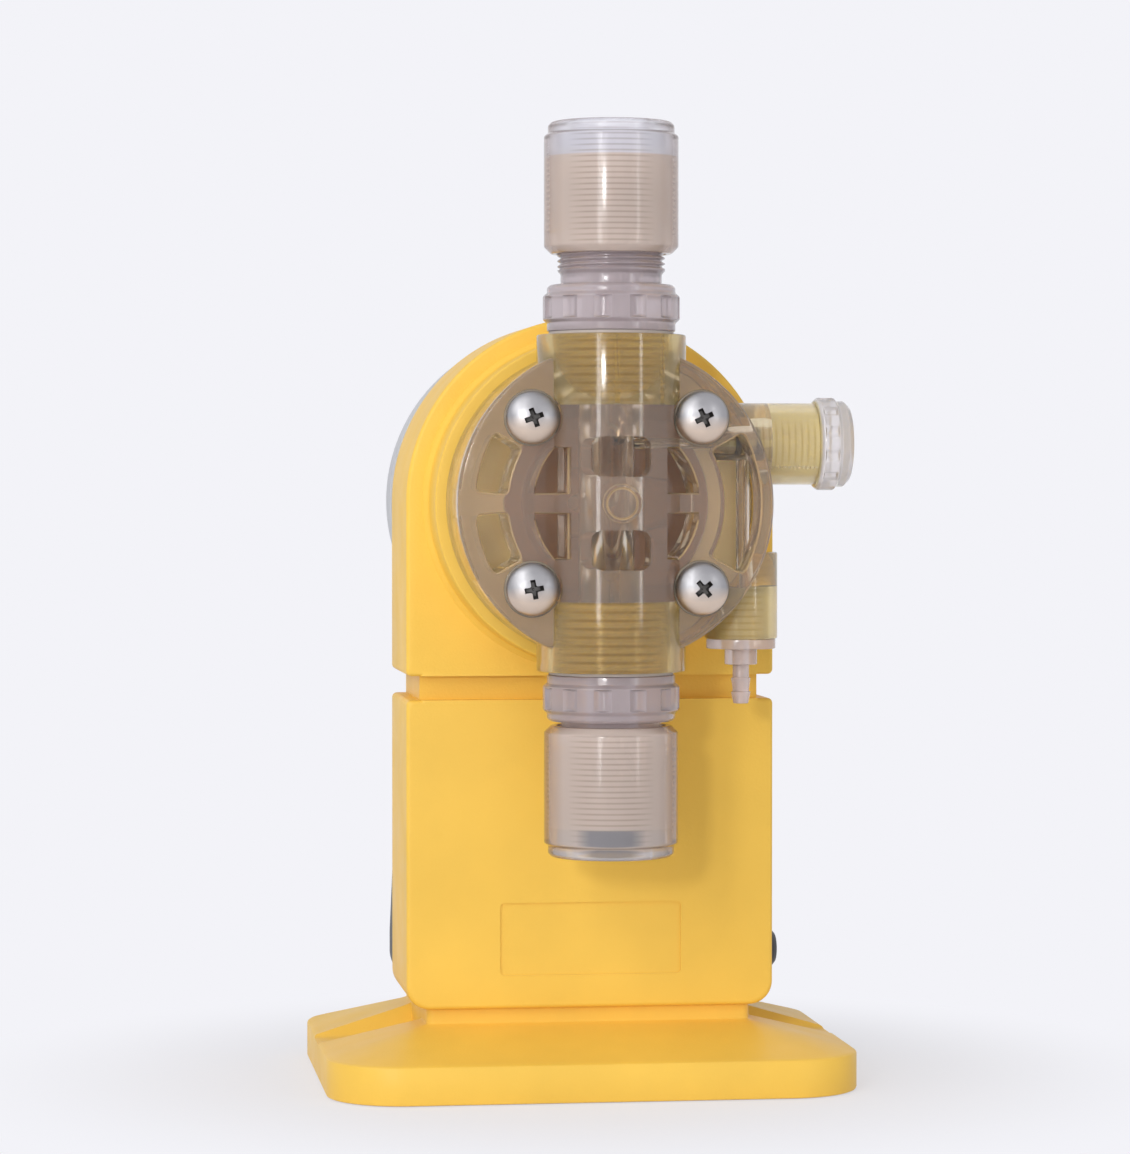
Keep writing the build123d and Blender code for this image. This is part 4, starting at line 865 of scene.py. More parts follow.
def joined(name: str, pieces: Sequence[Piece], sharp: float = SHARP) -> Piece:
    """Put the meshes of several pieces into one object and remove the pieces.

    Args:
        name: Name of the object.
        pieces: The pieces.
        sharp: Angle in degrees above which an edge stays sharp.

    Returns:
        The object.
    """
    work = bmesh.new()
    for piece in pieces:
        work.from_mesh(piece.data)
        bpy.data.objects.remove(piece)
    mesh = bpy.data.meshes.new(name)
    work.to_mesh(mesh)
    work.free()
    return settled(name, mesh, sharp)


class Cut(Enum):
    """What a boolean step does with its tool."""

    ADD = "UNION"
    TAKE = "DIFFERENCE"


def carved(base: Piece, steps: Sequence[tuple[Cut, Piece]], sharp: float = SHARP) -> Piece:
    """Apply boolean steps to a piece and remove their tools.

    Args:
        base: The piece to work on.
        steps: (what to do, tool), in order.
        sharp: Angle in degrees above which an edge stays sharp.

    Returns:
        The finished piece.
    """
    for number, (cut, tool) in enumerate(steps):
        modifier = base.modifiers.new(f"step_{number}", "BOOLEAN")
        modifier.operation = cut.value
        modifier.solver = "EXACT"
        modifier.object = tool
    mesh = bpy.data.meshes.new_from_object(base.evaluated_get(bpy.context.evaluated_depsgraph_get()))
    name = base.name
    for _, tool in steps:
        bpy.data.objects.remove(tool)
    bpy.data.objects.remove(base)
    mesh.name = name
    return settled(name, mesh, sharp)


# ---------------------------------------------------------------- frame helpers
def height_span(node: str) -> tuple[float, float]:
    """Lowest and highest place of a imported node, in millimetres."""
    low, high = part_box(node)
    return low[2] / MM, high[2] / MM


@dataclass
class Assembly:
    """Shared work of every sub-assembly: dressing, riding and reporting its pieces."""

    frame: dict

    def body_of(self, node: str) -> str:
        """Name of the body that a node belongs to."""
        bodies = self.frame["record"]["behaviour"]["bodies"]
        return next(body for body, nodes in bodies.items() if node in nodes)

    def dress(
        self, piece: Piece, finish: Finish, node: str, replace: bool = True, ride: bool = True
    ) -> Piece:
        """Give a new piece its finish, body and slot.

        Args:
            piece: The new piece.
            finish: Its finish.
            node: The node that it replaces, or whose body it rides on.
            replace: Whether it stands for the node.
            ride: Whether it moves with the node's body; a piece that bends between bodies doesn't.

        Returns:
            The piece.
        """
        piece.data.materials.clear()
        piece.data.materials.append(finish.material)
        if ride:
            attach(piece, self.body_of(node))
        if replace:
            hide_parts(node)
        name, faces = finish.value.name, len(piece.data.polygons)
        LOG.info("%s: %s, on %s, %d faces", piece.name, name, self.body_of(node), faces)
        return piece

    def carry(self, finish: Finish, *nodes: str) -> None:
        """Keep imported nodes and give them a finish."""
        for node in nodes:
            target = bpy.data.objects[node]
            target.data.materials.clear()
            target.data.materials.append(finish.material)
            LOG.info("%s: kept with %s", node, finish.value.name)

    def turned(self, node: str, finish: Finish, shape: Turned) -> Piece:
        """Build a turned piece in place of a node.

        Args:
            node: The node.
            finish: Its finish.
            shape: The turned shape.

        Returns:
            The piece.
        """
        return self.dress(shape.build(), finish, node)


# ---------------------------------------------------------------- drive end
@dataclass
class Foot(Assembly):
    """Broad foot: rounded rim, sloping crown, pedestal, side valleys and slotted holes."""

    width: float = 126.0
    depth: float = 100.5
    corner: float = 18.0
    rim: float = 9.0
    rim_edge: float = 1.2
    crown: float = 15.4
    pedestal_top: float = 19.4
    pedestal: Pair = (77.4, 54.0)
    pedestal_y: float = 1.2
    slot_x: float = 54.0
    screw_x: float = 24.0
    screw_y: Pair = (-16.3, 2.2)

    def rings(self) -> list[tuple[Points, float]]:
        """Outlines of the foot from the floor to the top of the pedestal."""
        crown_start = self.rim + 0.28
        sides = (
            (0.7, 0.0), (0.2, 0.2), (0.0, 0.7), (0.0, self.rim - 0.6), (0.2, self.rim - 0.15),
            (0.6, self.rim + 0.12), (self.rim_edge, crown_start),
        )
        rings = [
            (rounded_rectangle(self.width - 2 * i, self.depth - 2 * i, self.corner - i), z) for i, z in sides
        ]
        crown = rounded_rectangle(*self.pedestal, 2.0, (0, self.pedestal_y))
        rim = rings[-1][0]
        for share, lift in ((0.93, 0.0), (0.985, 0.08), (1.0, 0.35)):
            place = crown_start + (self.crown - crown_start) * min(share, 0.985) + lift
            rings.append((rim * (1 - share) + crown * share, place))
        rings.append((crown, self.pedestal_top))
        return rings

    def valley(self, side: int) -> Piece:
        """Prism that cuts the valley on one side."""
        outline = np.array([(-6.5, 8.4), (6.5, 8.4), (15.0, 16.4), (-15.0, 16.4)])
        outline = eased(outline, 1.2, True)
        near, far = self.pedestal[0] / 2, self.width
        return bar("valley", outline, (near, far) if side > 0 else (-far, -near), Axis.WIDTH)

    def build(self) -> None:
        """Carve the foot and dress it with its screws."""
        foot = stack("foot", self.rings(), Axis.UP)
        tools = [self.valley(side) for side in SIDES]
        for x in (-self.slot_x, self.slot_x):
            tools.append(bar("slot", rounded_rectangle(10.0, 6.0, 2.99, (x, 0)), (-1.0, 20.0), Axis.UP))
        hole = [(0, -1), (4.8, -1), (4.8, 5.0), (2.8, 5.0), (2.8, 30), (0, 30)]
        for x in (-self.screw_x, self.screw_x):
            for y in self.screw_y:
                tools.append(Turned("hole", Station(Axis.UP, (x, y, 0)), hole, ease=0.0).build())
        self.dress(carved(foot, [(Cut.TAKE, tool) for tool in tools]), Finish.YELLOW, "base_plate")
        self.carry(Finish.ZINC, "base_screws")


@dataclass
class Housing(Assembly):
    """Arched drive housing with its waist groove, raised head seat, gasket and rear cover."""

    half: float = 43.7
    front: float = -28.8
    rear: float = 9.2
    bottom: float = 19.4
    groove: Pair = (92.3, 98.0)
    groove_depth: float = 3.4
    corner: float = 5.5
    lip: float = 1.2
    seat_radius: float = 38.5
    seat_front: float = -44.8
    cover_step: float = 2.2
    gland: Station = Station(Axis.WIDTH, (0, 20.7, 27.0))
    screws: tuple[Pair, ...] = ((-35.95, 46.0), (35.95, 46.0), (-25.42, 164.22), (25.42, 164.22))

    def outline(self, inset: float) -> Points:
        """Front outline, inset from the housing's own, always with the same number of points.

        Args:
            inset: Distance inwards from the housing's outline.

        Returns:
            Anticlockwise (x, z) points that start at the lower right corner.
        """
        half, bottom = self.half - inset, self.bottom + inset
        low, high = self.groove[0] - inset, self.groove[1] + inset
        waist, lip = half - self.groove_depth, self.lip
        right = np.vstack([
            arc((half - self.corner, bottom + self.corner), self.corner, -90, 0, 13),
            arc((half - lip, low - lip), lip, 0, 90, 7),
            [(waist, low), (waist, high)],
            arc((half - lip, high + lip), lip, -90, 0, 7),
        ])
        arch = arc((0, HEAD_Z), half, 0, 180, 97)
        left = right[::-1] * (-1, 1)
        return np.vstack([right, arch, left])

    def eased_front(self, edge: float, front: float, rear: float) -> list[tuple[Points, float]]:
        """Rings of a body with a rounded front edge.

        Args:
            edge: Radius of the edge.
            front: Front place.
            rear: Rear place.

        Returns:
            (outline, place) of each ring.
        """
        turns = np.radians(np.linspace(0, 90, 6))
        rings = [(self.outline(edge * (1 - math.sin(t))), front + edge * (1 - math.cos(t))) for t in turns]
        return [*rings, (self.outline(0.0), rear)]

    def shell(self) -> Piece:
        """Yellow housing: eased body, hollow from the rear, grooved front, raised seat."""
        body = stack("drive_housing_finished", self.eased_front(1.0, self.front, self.rear), Axis.DEPTH)
        hollow = bar("hollow", self.outline(4.0), (self.front + 6.5, 30.0), Axis.DEPTH)
        middle = sum(self.groove) / 2
        band = rounded_rectangle(2 * self.half + 2, self.groove[1] - self.groove[0], 0.5, (0, middle))
        groove = bar("groove", band, (-60.0, self.front + self.groove_depth), Axis.DEPTH)
        label = rounded_rectangle(43.0, 17.1, 1.0, (0, 35.75))
        recess = bar("recess", label, (-60.0, self.front + 0.4), Axis.DEPTH)
        centre = Station(Axis.DEPTH, (0, 0, HEAD_Z))
        seat = Turned("seat", centre, [
            (0, self.seat_front), (self.seat_radius, self.seat_front), (self.seat_radius, self.front - 1.6),
            (self.seat_radius + 1.6, self.front), (self.seat_radius + 1.6, self.front + 2),
            (0, self.front + 2),
        ], ease=0.8, segments=128).build()
        bore = Turned("bore", centre, [
            (0, self.seat_front - 1), (34.6, self.seat_front - 1), (34.6, self.seat_front + 5),
            (6.1, self.seat_front + 5), (6.1, 0), (0, 0),
        ], ease=0.0, segments=96).build()
        return carved(body, [
            (Cut.TAKE, groove), (Cut.TAKE, recess), (Cut.ADD, seat), (Cut.TAKE, hollow), (Cut.TAKE, bore),
        ])

    def cover(self) -> Piece:
        """Rear cover: rounded rear edge, side ribs, gland boss and holes for its controls."""
        front, rear, edge = 10.2, 31.2, 3.0
        turns = np.radians(np.linspace(0, 90, 8))
        rings = [(self.outline(self.cover_step), front)]
        rings += [
            (self.outline(self.cover_step + edge * (1 - math.cos(t))), rear - edge + edge * math.sin(t))
            for t in turns
        ]
        body = stack("rear_cover_finished", rings, Axis.DEPTH)
        half = self.half - self.cover_step
        rib = eased([
            (half - 1.5, 22), (half, 22), (half + 1.3, 26), (half + 1.3, 32), (half, 60), (half - 1.5, 60),
        ], 1.0, True)
        steps = [(Cut.ADD, bar("rib", rib * (side, 1), (12.2, 27.2), Axis.DEPTH)) for side in SIDES]
        steps.append((Cut.ADD, Turned("boss", self.gland, rod(7.5, half - 1.5, half + 1.3)).build()))
        inside = self.outline(self.cover_step + 3.0)
        steps.append((Cut.TAKE, bar("inside", inside, (0.0, rear - 3.0), Axis.DEPTH)))
        holes = [((0, HEAD_Z), 5.05), ((0, 66.0), 3.05), *((place, 3.9) for place in self.screws)]
        for (x, z), radius in holes:
            hole = Turned("hole", Station(Axis.DEPTH, (x, 0, z)), rod(radius, 25.0, 40.0), ease=0.0)
            steps.append((Cut.TAKE, hole.build()))
        steps.append((Cut.TAKE, Turned("entry", self.gland, rod(5.05, 30.0, 60.0), ease=0.0).build()))
        return carved(body, steps)

    def gasket(self) -> Piece:
        """Thin rubber ring between housing and cover."""
        ring = bar("housing_gasket_finished", self.outline(2.2), (9.2, 10.2), Axis.DEPTH)
        return carved(ring, [(Cut.TAKE, bar("inside", self.outline(5.2), (0.0, 20.0), Axis.DEPTH))])

    def build(self) -> None:
        """Build and dress the housing, its gasket and its cover."""
        self.dress(self.shell(), Finish.YELLOW, "drive_housing")
        self.dress(self.cover(), Finish.CHARCOAL, "rear_cover")
        self.dress(self.gasket(), Finish.RUBBER, "housing_gasket")
        screws = [
            Turned("screw", Station(Axis.DEPTH, (x, 0, z)), [
                (0, -4.8), (2.0, -4.8), (2.0, 28.2), (3.6, 28.2), (3.6, 29.9), (2.6, 30.7), (1.2, 30.7),
                (1.2, 29.0), (0, 29.0),
            ], segments=48).build()
            for x, z in self.screws
        ]
        self.dress(joined("cover_screws_finished", screws), Finish.ZINC, "cover_screws")


@dataclass
class Controls(Assembly):
    """Rear dial with its numbered scale, the two knobs, the cable gland and the circuit board."""

    dial_rear: float = 47.2
    mark_inner: float = 25.0
    steps: int = 10
    sweep_deg: float = 270.0
    speed_z: float = 66.0

    def bezel(self) -> Turned:
        """Round dial body with a well for the knob."""
        outline = [
            (5.3, 31.2), (42.4, 31.2), (42.4, 41.2), (40.4, 45.2), (38.4, 47.2), (24.0, 47.2), (23.0, 46.2),
            (23.0, 38.2), (5.3, 38.2),
        ]
        station = Station(Axis.DEPTH, (0, 0, HEAD_Z))
        return Turned("dial_bezel_finished", station, outline, True, 0.9, 160)

    def line(self, name: str, ends: Points, width: float, places: Pair) -> Piece:
        """Thin straight bar on a rear face.

        Args:
            name: Name of the object.
            ends: (x, z) of its two ends.
            width: Its width.
            places: Front and rear place.

        Returns:
            The object.
        """
        run = (ends[1] - ends[0]) / np.linalg.norm(ends[1] - ends[0])
        side = np.array([run[1], -run[0]]) * width / 2
        corners = np.array([ends[0] - side, ends[0] + side, ends[1] + side, ends[1] - side])
        return bar(name, corners, places, Axis.DEPTH)

    def number(self, text: str, angle: float) -> Piece:
        """One number of the scale, upright and readable from behind."""
        curve = bpy.data.curves.new("number", "FONT")
        curve.body = text
        curve.size = 5.0 * MM
        curve.extrude = 0.1 * MM
        curve.align_x, curve.align_y = "CENTER", "CENTER"
        holder = linked("number", curve)
        mesh = bpy.data.meshes.new_from_object(holder.evaluated_get(bpy.context.evaluated_depsgraph_get()))
        bpy.data.objects.remove(holder)
        reach = self.mark_inner + 8.4
        place = Vector((-math.sin(angle) * reach * MM, (self.dial_rear + 0.02) * MM, 0))
        place.z = (HEAD_Z + math.cos(angle) * reach) * MM
        upright = Matrix.Rotation(math.pi, 4, "Z") @ Matrix.Rotation(math.pi / 2, 4, "X")
        mesh.transform(Matrix.Translation(place) @ upright)
        return settled("number", mesh, 30.0)

    def scale(self) -> Piece:
        """Marks and numbers from 0 to 100 round the stroke knob."""
        pieces = []
        start = -math.radians(self.sweep_deg) / 2
        for step in range(2 * self.steps + 1):
            angle = start + math.radians(self.sweep_deg) * step / (2 * self.steps)
            whole = step % 2 == 0
            length, width = (3.6, 0.6) if whole else (2.2, 0.4)
            reach = np.array([[self.mark_inner], [self.mark_inner + length]])
            ends = reach * (-math.sin(angle), math.cos(angle)) + (0.0, HEAD_Z)
            pieces.append(self.line("mark", ends, width, (self.dial_rear - 0.1, self.dial_rear + 0.12)))
            if whole:
                pieces.append(self.number(str(step // 2 * 10), angle))
        return joined("dial_scale", pieces)

    def knob(self, name: str, z: float, radius: float, span: Pair, grips: int) -> Piece:
        """Round knob with a skirt and finger flutes.

        Args:
            name: Name of the piece.
            z: Height of its axis.
            radius: Radius of the skirt.
            span: Front and rear place.
            grips: Number of flutes.

        Returns:
            The piece.
        """
        front, rear = span
        grip = radius - 1.2
        outline = [
            (0, front), (radius, front), (radius, front + 2.5), (grip, front + 3.3), (grip, rear - 1.4),
            (grip - 1.6, rear), (0, rear),
        ]
        flutes = Lugs(grip, front + 3.3, rear - 1.0, grips, radius * 0.09, 0.42, 1.6)
        station = Station(Axis.DEPTH, (0, 0, z))
        return Turned(name, station, outline, ease=0.5, segments=grips * 12, cuts=(flutes,)).build()

    def pointer(self, name: str, z: float, reach: float, rear: float, towards: int) -> Piece:
        """White line on a knob's end face.

        Args:
            name: Name of the piece.
            z: Height of the knob's axis.
            reach: Radius of the end face.
            rear: Place of the end face.
            towards: -1 to point at the start of the sweep, 1 to point at its end.

        Returns:
            The piece.
        """
        angle = math.radians(towards * self.sweep_deg / 2)
        ends = np.array([[0.35], [0.95]]) * reach * (-math.sin(angle), math.cos(angle)) + (0.0, z)
        return self.line(name, ends, 1.0, (rear - 0.2, rear + 0.08))

    def gland(self) -> Piece:
        """Cable gland: hexagon flange, domed cap and a bore for the cable."""
        station = Station(Axis.WIDTH, (0, 20.7, 27.0))
        outline = [
            (2.7, 35.5), (5.0, 35.5), (5.0, 42.8), (5.7, 42.8), (5.7, 50.2), (4.9, 52.2), (3.4, 53.4),
            (2.7, 53.4),
        ]
        grip = Lugs(5.7, 46.6, 50.0, 12, 0.35, 0.5, 1.2)
        cap = Turned("cable_gland_finished", station, outline, True, 0.7, 72, (grip,)).build()
        turns = np.radians(np.arange(6) * 60.0)
        corners = np.stack([20.7 + 6.5 * np.cos(turns), 27.0 + 6.5 * np.sin(turns)], axis=1)
        flange = bar("flange", eased(corners, 0.6, True), (42.8, 46.33), Axis.WIDTH)
        core = Turned("core", station, rod(2.7, 40, 60), ease=0.0).build()
        return carved(cap, [(Cut.ADD, flange), (Cut.TAKE, core)])

    def build(self) -> None:
        """Build and dress the rear controls."""
        self.turned("dial_bezel", Finish.LIGHT_GREY, self.bezel())
        self.dress(self.scale(), Finish.INK, "dial_bezel", replace=False)
        knobs = (
            ("stroke", HEAD_Z, 17.0, (38.5, 52.4), 12, 13.0, 1),
            ("speed", self.speed_z, 8.5, (31.5, 40.4), 10, 5.4, -1),
        )
        for name, z, radius, span, grips, reach, towards in knobs:
            knob = self.knob(f"{name}_knob_finished", z, radius, span, grips)
            self.dress(knob, Finish.CHARCOAL, f"{name}_knob")
            line = self.pointer(f"{name}_pointer", z, reach, span[1] + 0.02, towards)
            self.dress(line, Finish.PAINT, f"{name}_knob", replace=False)
        self.dress(self.gland(), Finish.CHARCOAL, "cable_gland")
        self.carry(Finish.BRASS, "stroke_sleeve", "speed_shaft")
        self.carry(Finish.COMPONENT, "speed_pot")
        self.carry(Finish.BOARD, "circuit_board")
        self.carry(Finish.ZINC, "stroke_stop")


@dataclass
class Solenoid(Assembly):
    """Enclosed drive: magnet, coil, plunger, shaft and spring."""

    axis_z: float = HEAD_Z
    spring: Pair = (-12.75, 1.95)
    spring_radius: float = 5.7
    wire: float = 1.2
    turns: float = 6.0
    steps: int = 150
    sides: int = 14

    def coil(self, name: str, first: float, last: float) -> Piece:
        """Part of the return spring between two shares of its length.

        The wire's middle runs at angle 2 pi turns t and depth interp(t), with a closed turn at each end; its
        section is a circle across the run.

        Args:
            name: Name of the piece.
            first: Share where it starts.
            last: Share where it ends.

        Returns:
            The piece.
        """
        front, rear = self.spring[0] + self.wire / 2, self.spring[1] - self.wire / 2
        share = np.linspace(first, last, self.steps)
        closed = self.wire * 1.03
        turned, places = [0, 1, self.turns - 1, self.turns], [front, front + closed, rear - closed, rear]
        depth = np.interp(share * self.turns, turned, places)
        angle = 2 * np.pi * self.turns * share
        outward = np.stack([np.cos(angle), np.zeros_like(angle), np.sin(angle)], axis=1)
        middle = outward * self.spring_radius + np.stack([0 * depth, depth, 0 * depth + self.axis_z], axis=1)
        along = np.gradient(middle, axis=0)
        along /= np.linalg.norm(along, axis=1, keepdims=True)
        across = np.cross(along, outward)
        turn = np.linspace(0, 2 * np.pi, self.sides, endpoint=False)[None, :, None]
        ring = np.cos(turn) * outward[:, None] + np.sin(turn) * across[:, None]
        points = middle[:, None] + ring * self.wire / 2
        count, last_ring = self.steps * self.sides, (self.steps - 1) * self.sides
        faces = grid_faces(self.steps, self.sides, False, True).tolist()
        faces += [list(range(self.sides)), list(range(last_ring, count))]
        mesh = bpy.data.meshes.new(name)
        mesh.from_pydata((points.reshape(-1, 3) * MM).tolist(), [], faces)
        return settled(name, mesh, SHARP)

    def return_spring(self) -> None:
        """Spring in two halves, front and rear, neither of which rides on a body."""
        halves = (("front", 0.0, 0.5, "pump", "stroke_stop"), ("rear", 0.5, 1.0, "stroke_stop", "armature"))
        for side, first, last, near, far in halves:
            half = self.coil(f"return_spring_{side}", first, last)
            self.dress(half, Finish.STEEL, "return_spring", ride=False)
            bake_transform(half)

    def build(self) -> None:
        """Dress the enclosed pieces, which nothing shows from outside."""
        self.return_spring()
        self.carry(Finish.IRON, "solenoid_yoke", "yoke_plate", "pole_piece", "plunger")
        self.carry(Finish.COMPONENT, "coil_bobbin")
        self.carry(Finish.COPPER, "coil_winding")
        self.carry(Finish.BRASS, "shaft_bush")
        self.carry(Finish.STEEL, "drive_shaft")


# ---------------------------------------------------------------- liquid end
@dataclass
class PumpHead(Assembly):
    """Clear cored head: flange disc, vertical valve tube, bleed arm and return arm."""

    rear: float = -44.8
    front: float = -71.3
    ahead: float = -90.0
    radius: float = 36.0
    tube_radius: float = 17.0
    port_radius: float = 13.5
    port_inner: float = 22.2
    arm_radius: float = 9.4
    arm_bore: float = 7.2
    return_radius: float = 8.4
    return_bore: float = 6.5
    ring_inner: float = 24.8
    ring_outer: float = 31.9
    pocket_depth: float = 18.0
    chamfer: float = 0.35
    boss_front: float = -79.7
    window_floor: float = -69.1
    bleed_floor: float = 37.3
    return_floor: float = 119.6
    touch: float = 0.1
    tube: Station = Station(Axis.UP, (0, TUBE_Y, 0))
    centre: Station = Station(Axis.DEPTH, (0, 0, HEAD_Z))
    bleed: Station = Station(Axis.WIDTH, (0, ARM_Y, BLEED_Z))
    back: Station = Station(Axis.UP, (RETURN_X, ARM_Y, 0))

    def inner_pocket(self, across: int, up: int) -> Points:
        """Outline of one pocket beside the tube: chord, rib, arc and cap."""
        outer, edge, rib, reach = 18.8, 11.2, 2.3, 12.5
        start, end = math.degrees(math.asin(rib / outer)), math.degrees(math.asin(reach / outer))
        curve = arc((0, 0), outer, start, end, 9)
        corners = np.vstack([[(edge, rib)], curve, [(edge, reach)]])
        return corners[:: 1 if across * up > 0 else -1] * (across, up)

    def sector(self, outer: float, start: float, end: float, corner: float = 1.3) -> Points:
        """Outline of a piece of the ring between the screws' circle and the rim, with rounded corners.

        Args:
            outer: Outer radius.
            start: Angle where it starts, in degrees.
            end: Angle where it ends, in degrees.
            corner: Radius of its corners.

        Returns:
            The outline.
        """
        steps = np.linspace(0.0, 1.0, 5)[:, None]
        parts = []
        for radius, first, last, inward in ((outer, start, end, -1), (self.ring_inner, end, start, 1)):
            turn = math.degrees(corner / radius) * np.sign(last - first)
            edge = arc((0, 0), radius, first + turn, last - turn, 15)
            tips, sides = (
                [arc((0, 0), reach, angle, angle, 1)[0] for angle in (first, last)]
                for reach in (radius, radius + inward * corner)
            )
            parts += [
                bend(sides[0], tips[0], edge[0], steps), edge[1:-1], bend(edge[-1], tips[1], sides[1], steps),
            ]
        return np.vstack(parts)

    def widened(self, outline: Points, by: float) -> Points:
        """Move an outline outwards along its normals."""
        along = np.roll(outline, -1, axis=0) - np.roll(outline, 1, axis=0)
        normal = np.stack([along[:, 1], -along[:, 0]], axis=1)
        after = np.roll(outline, -1, axis=0)
        area = np.sum(outline[:, 0] * after[:, 1] - outline[:, 1] * after[:, 0])
        return outline + np.sign(area) * by * normal / np.linalg.norm(normal, axis=1, keepdims=True)

    def pocket(self, outline: Points, depth: float) -> Piece:
        """Cutter for a pocket from the front face, with a small chamfer around its mouth."""
        placed, wide = (shape + (0.0, HEAD_Z) for shape in (outline, self.widened(outline, self.chamfer)))
        mouth = self.front - 0.02
        rings = [(wide, self.ahead), (wide, mouth), (placed, mouth + 0.45), (placed, self.front + depth)]
        return stack("pocket", rings, Axis.DEPTH)

    def solids(self) -> list[tuple[Cut, Piece]]:
        """Forms that are added to the flange disc."""
        tip, groove = self.boss_front, self.boss_front + 0.35
        boss = [
            (0, tip), (3.3, tip), (3.3, groove), (3.6, groove), (3.6, tip), (4.4, tip), (4.4, -70), (0, -70),
        ]
        parts = [
            Turned("tube", self.tube, rod(self.tube_radius, *PORTS), ease=0.5, segments=128),
            Turned("boss", self.centre, boss, ease=0.12, segments=64),
            Turned("bleed_arm", self.bleed, rod(self.arm_radius, 8, 48.2), ease=0.4),
            Turned("return_arm", self.back, rod(self.return_radius, 107.6, 127.5), ease=0.5),
        ]
        return [(Cut.ADD, part.build()) for part in parts]

    def pockets(self) -> list[tuple[Cut, Piece]]:
        """Cored pockets and windows, taken away."""
        shapes = [(self.inner_pocket(across, up), self.pocket_depth) for across in SIDES for up in SIDES]
        left = ((150, 175.2), (184.8, 210))
        shapes += [(self.sector(self.ring_outer, *span), self.pocket_depth) for span in left]
        shapes.append((self.sector(33.0, -29, 29), 10.0))
        cuts = [self.pocket(outline, depth) for outline, depth in shapes]
        for up in (-10.5, 10.5):
            window = rounded_rectangle(13.6, 9.0, 2.5, (0, up)) + (0.0, HEAD_Z)
            cuts.append(bar("window", window, (self.ahead, self.window_floor), Axis.DEPTH))
        return [(Cut.TAKE, cut) for cut in cuts]

    def bores(self) -> list[tuple[Cut, Piece]]:
        """Ports, passages, chamber, needle bore, return channel and screw holes."""
        low, high = PORTS
        wide, arm, back = self.port_radius, self.arm_bore, self.return_bore
        deep, top = self.bleed_floor, self.return_floor
        shapes = [
            (self.tube, [(0, low - 1), (wide, low - 1), (wide, low + 16), (5, low + 16), (5, high - 16),
                         (wide, high - 16), (wide, high + 1), (0, high + 1)]),
            (self.centre, [(0, TUBE_Y), (3, TUBE_Y), (3, -51.0), (19.7, -51.0), (19.7, -47.86),
                           (23.45, -47.86), (23.45, self.rear + 1), (0, self.rear + 1)]),
            (self.bleed, [(0, 24), (4, 24), (4, deep), (arm, deep), (arm, 49), (0, 49)]),
            (Station(Axis.WIDTH, (0, -57.1, BLEED_Z)), rod(1.2, 0, 25)),
            (self.back, [(0, 106), (back, 106), (back, top), (1.6, top), (1.6, BLEED_Z), (0, BLEED_Z)]),
        ]
        hole = [
            (0, self.ahead), (6.7, self.ahead), (6.7, self.front), (3.3, self.front), (3.3, -40), (0, -40),
        ]
        shapes += [(Station(Axis.DEPTH, (x, 0, z)), hole) for x, z in SCREWS]
        tools = [Turned("bore", spot, outline, ease=0.0, segments=72).build() for spot, outline in shapes]
        return [(Cut.TAKE, tool) for tool in tools]

    def split(self, mesh: bpy.types.Mesh) -> None:
        """Divide the faces at the depth of the port bores, so that a finish can end there."""
        scratch = bmesh.new()
        scratch.from_mesh(mesh)
        for way in SIDES:
            bmesh.ops.bisect_plane(
                scratch, geom=[*scratch.verts, *scratch.edges, *scratch.faces],
                plane_co=(0.0, 0.0, (HEAD_Z + way * self.port_inner) * MM), plane_no=(0.0, 0.0, 1.0),
            )
        scratch.to_mesh(mesh)
        scratch.free()

    def filmed(self, head: Piece) -> None:
        """Give bores, arms, tube, cored pockets and pocket mouths their own finishes.

        A face belongs to a round wall when its middle lies at the wall's radius from the wall's axis, to a
        core when it faces along the head's axis behind the front face, and to a mouth when it slopes there;
        the mouths and the boss's ring faces take a lighter finish, a painted highlight.
        """
        for finish in (
            Finish.THREADED, Finish.POLISHED, Finish.EDGE, Finish.ARM, Finish.ARM_BORE, Finish.RETURN_ARM,
            Finish.PORT,
        ):
            head.data.materials.append(finish.material)
        self.split(head.data)
        facing = face_values(head.data, "normal")[:, 1]
        x, y, z = face_values(head.data, "center").T / MM
        up, reach = np.abs(z - HEAD_Z), np.hypot(x, z - HEAD_Z)
        tube, arm, back = (
            np.hypot(x, y - TUBE_Y), np.hypot(y - ARM_Y, z - BLEED_Z), np.hypot(x - RETURN_X, y - ARM_Y),
        )
        near = self.touch
        port = (np.abs(tube - self.port_radius) < near) & (up > self.port_inner - 2 * near)
        wall = (np.abs(tube - self.tube_radius) < 1.5 * near) & (up > self.port_inner + near)
        bored = (np.abs(arm - self.arm_bore) < near) & (x > self.bleed_floor - near)
        bored |= (np.abs(back - self.return_bore) < near) & (z < self.return_floor + near)
        side = (np.abs(arm - self.arm_radius) < 1.5 * near) & (x > 20.0)
        down = (np.abs(back - self.return_radius) < 1.5 * near) & (z < 128.0)
        behind = y > self.front + 0.5
        floor = (behind & (reach < self.radius)) | (np.abs(y - self.window_floor) < 2 * near)
        core = (np.abs(facing) > 0.99) & floor
        ring = (reach > self.ring_inner - 2 * near) & (reach < self.ring_outer + 3 * near) & (x < -18.0)
        core |= behind & ring & (y < self.front + self.pocket_depth + 0.5)
        # painted highlight: sloping pocket mouths and the boss's ring faces take the lighter edge finish
        mouth = (np.abs(y - self.front - 0.2) < 0.2) & (np.abs(facing + 0.61) < 0.12)
        mouth &= reach < self.radius - 2.0
        mouth |= (y < self.boss_front + 0.5) & ((np.abs(reach - 3.45) < 0.25) | (np.abs(reach - 4.35) < near))
        slots = np.select([port, bored, side, down, wall, core, mouth], [1, 5, 4, 6, 7, 2, 3], 0)
        head.data.polygons.foreach_set("material_index", slots.astype(np.int32))

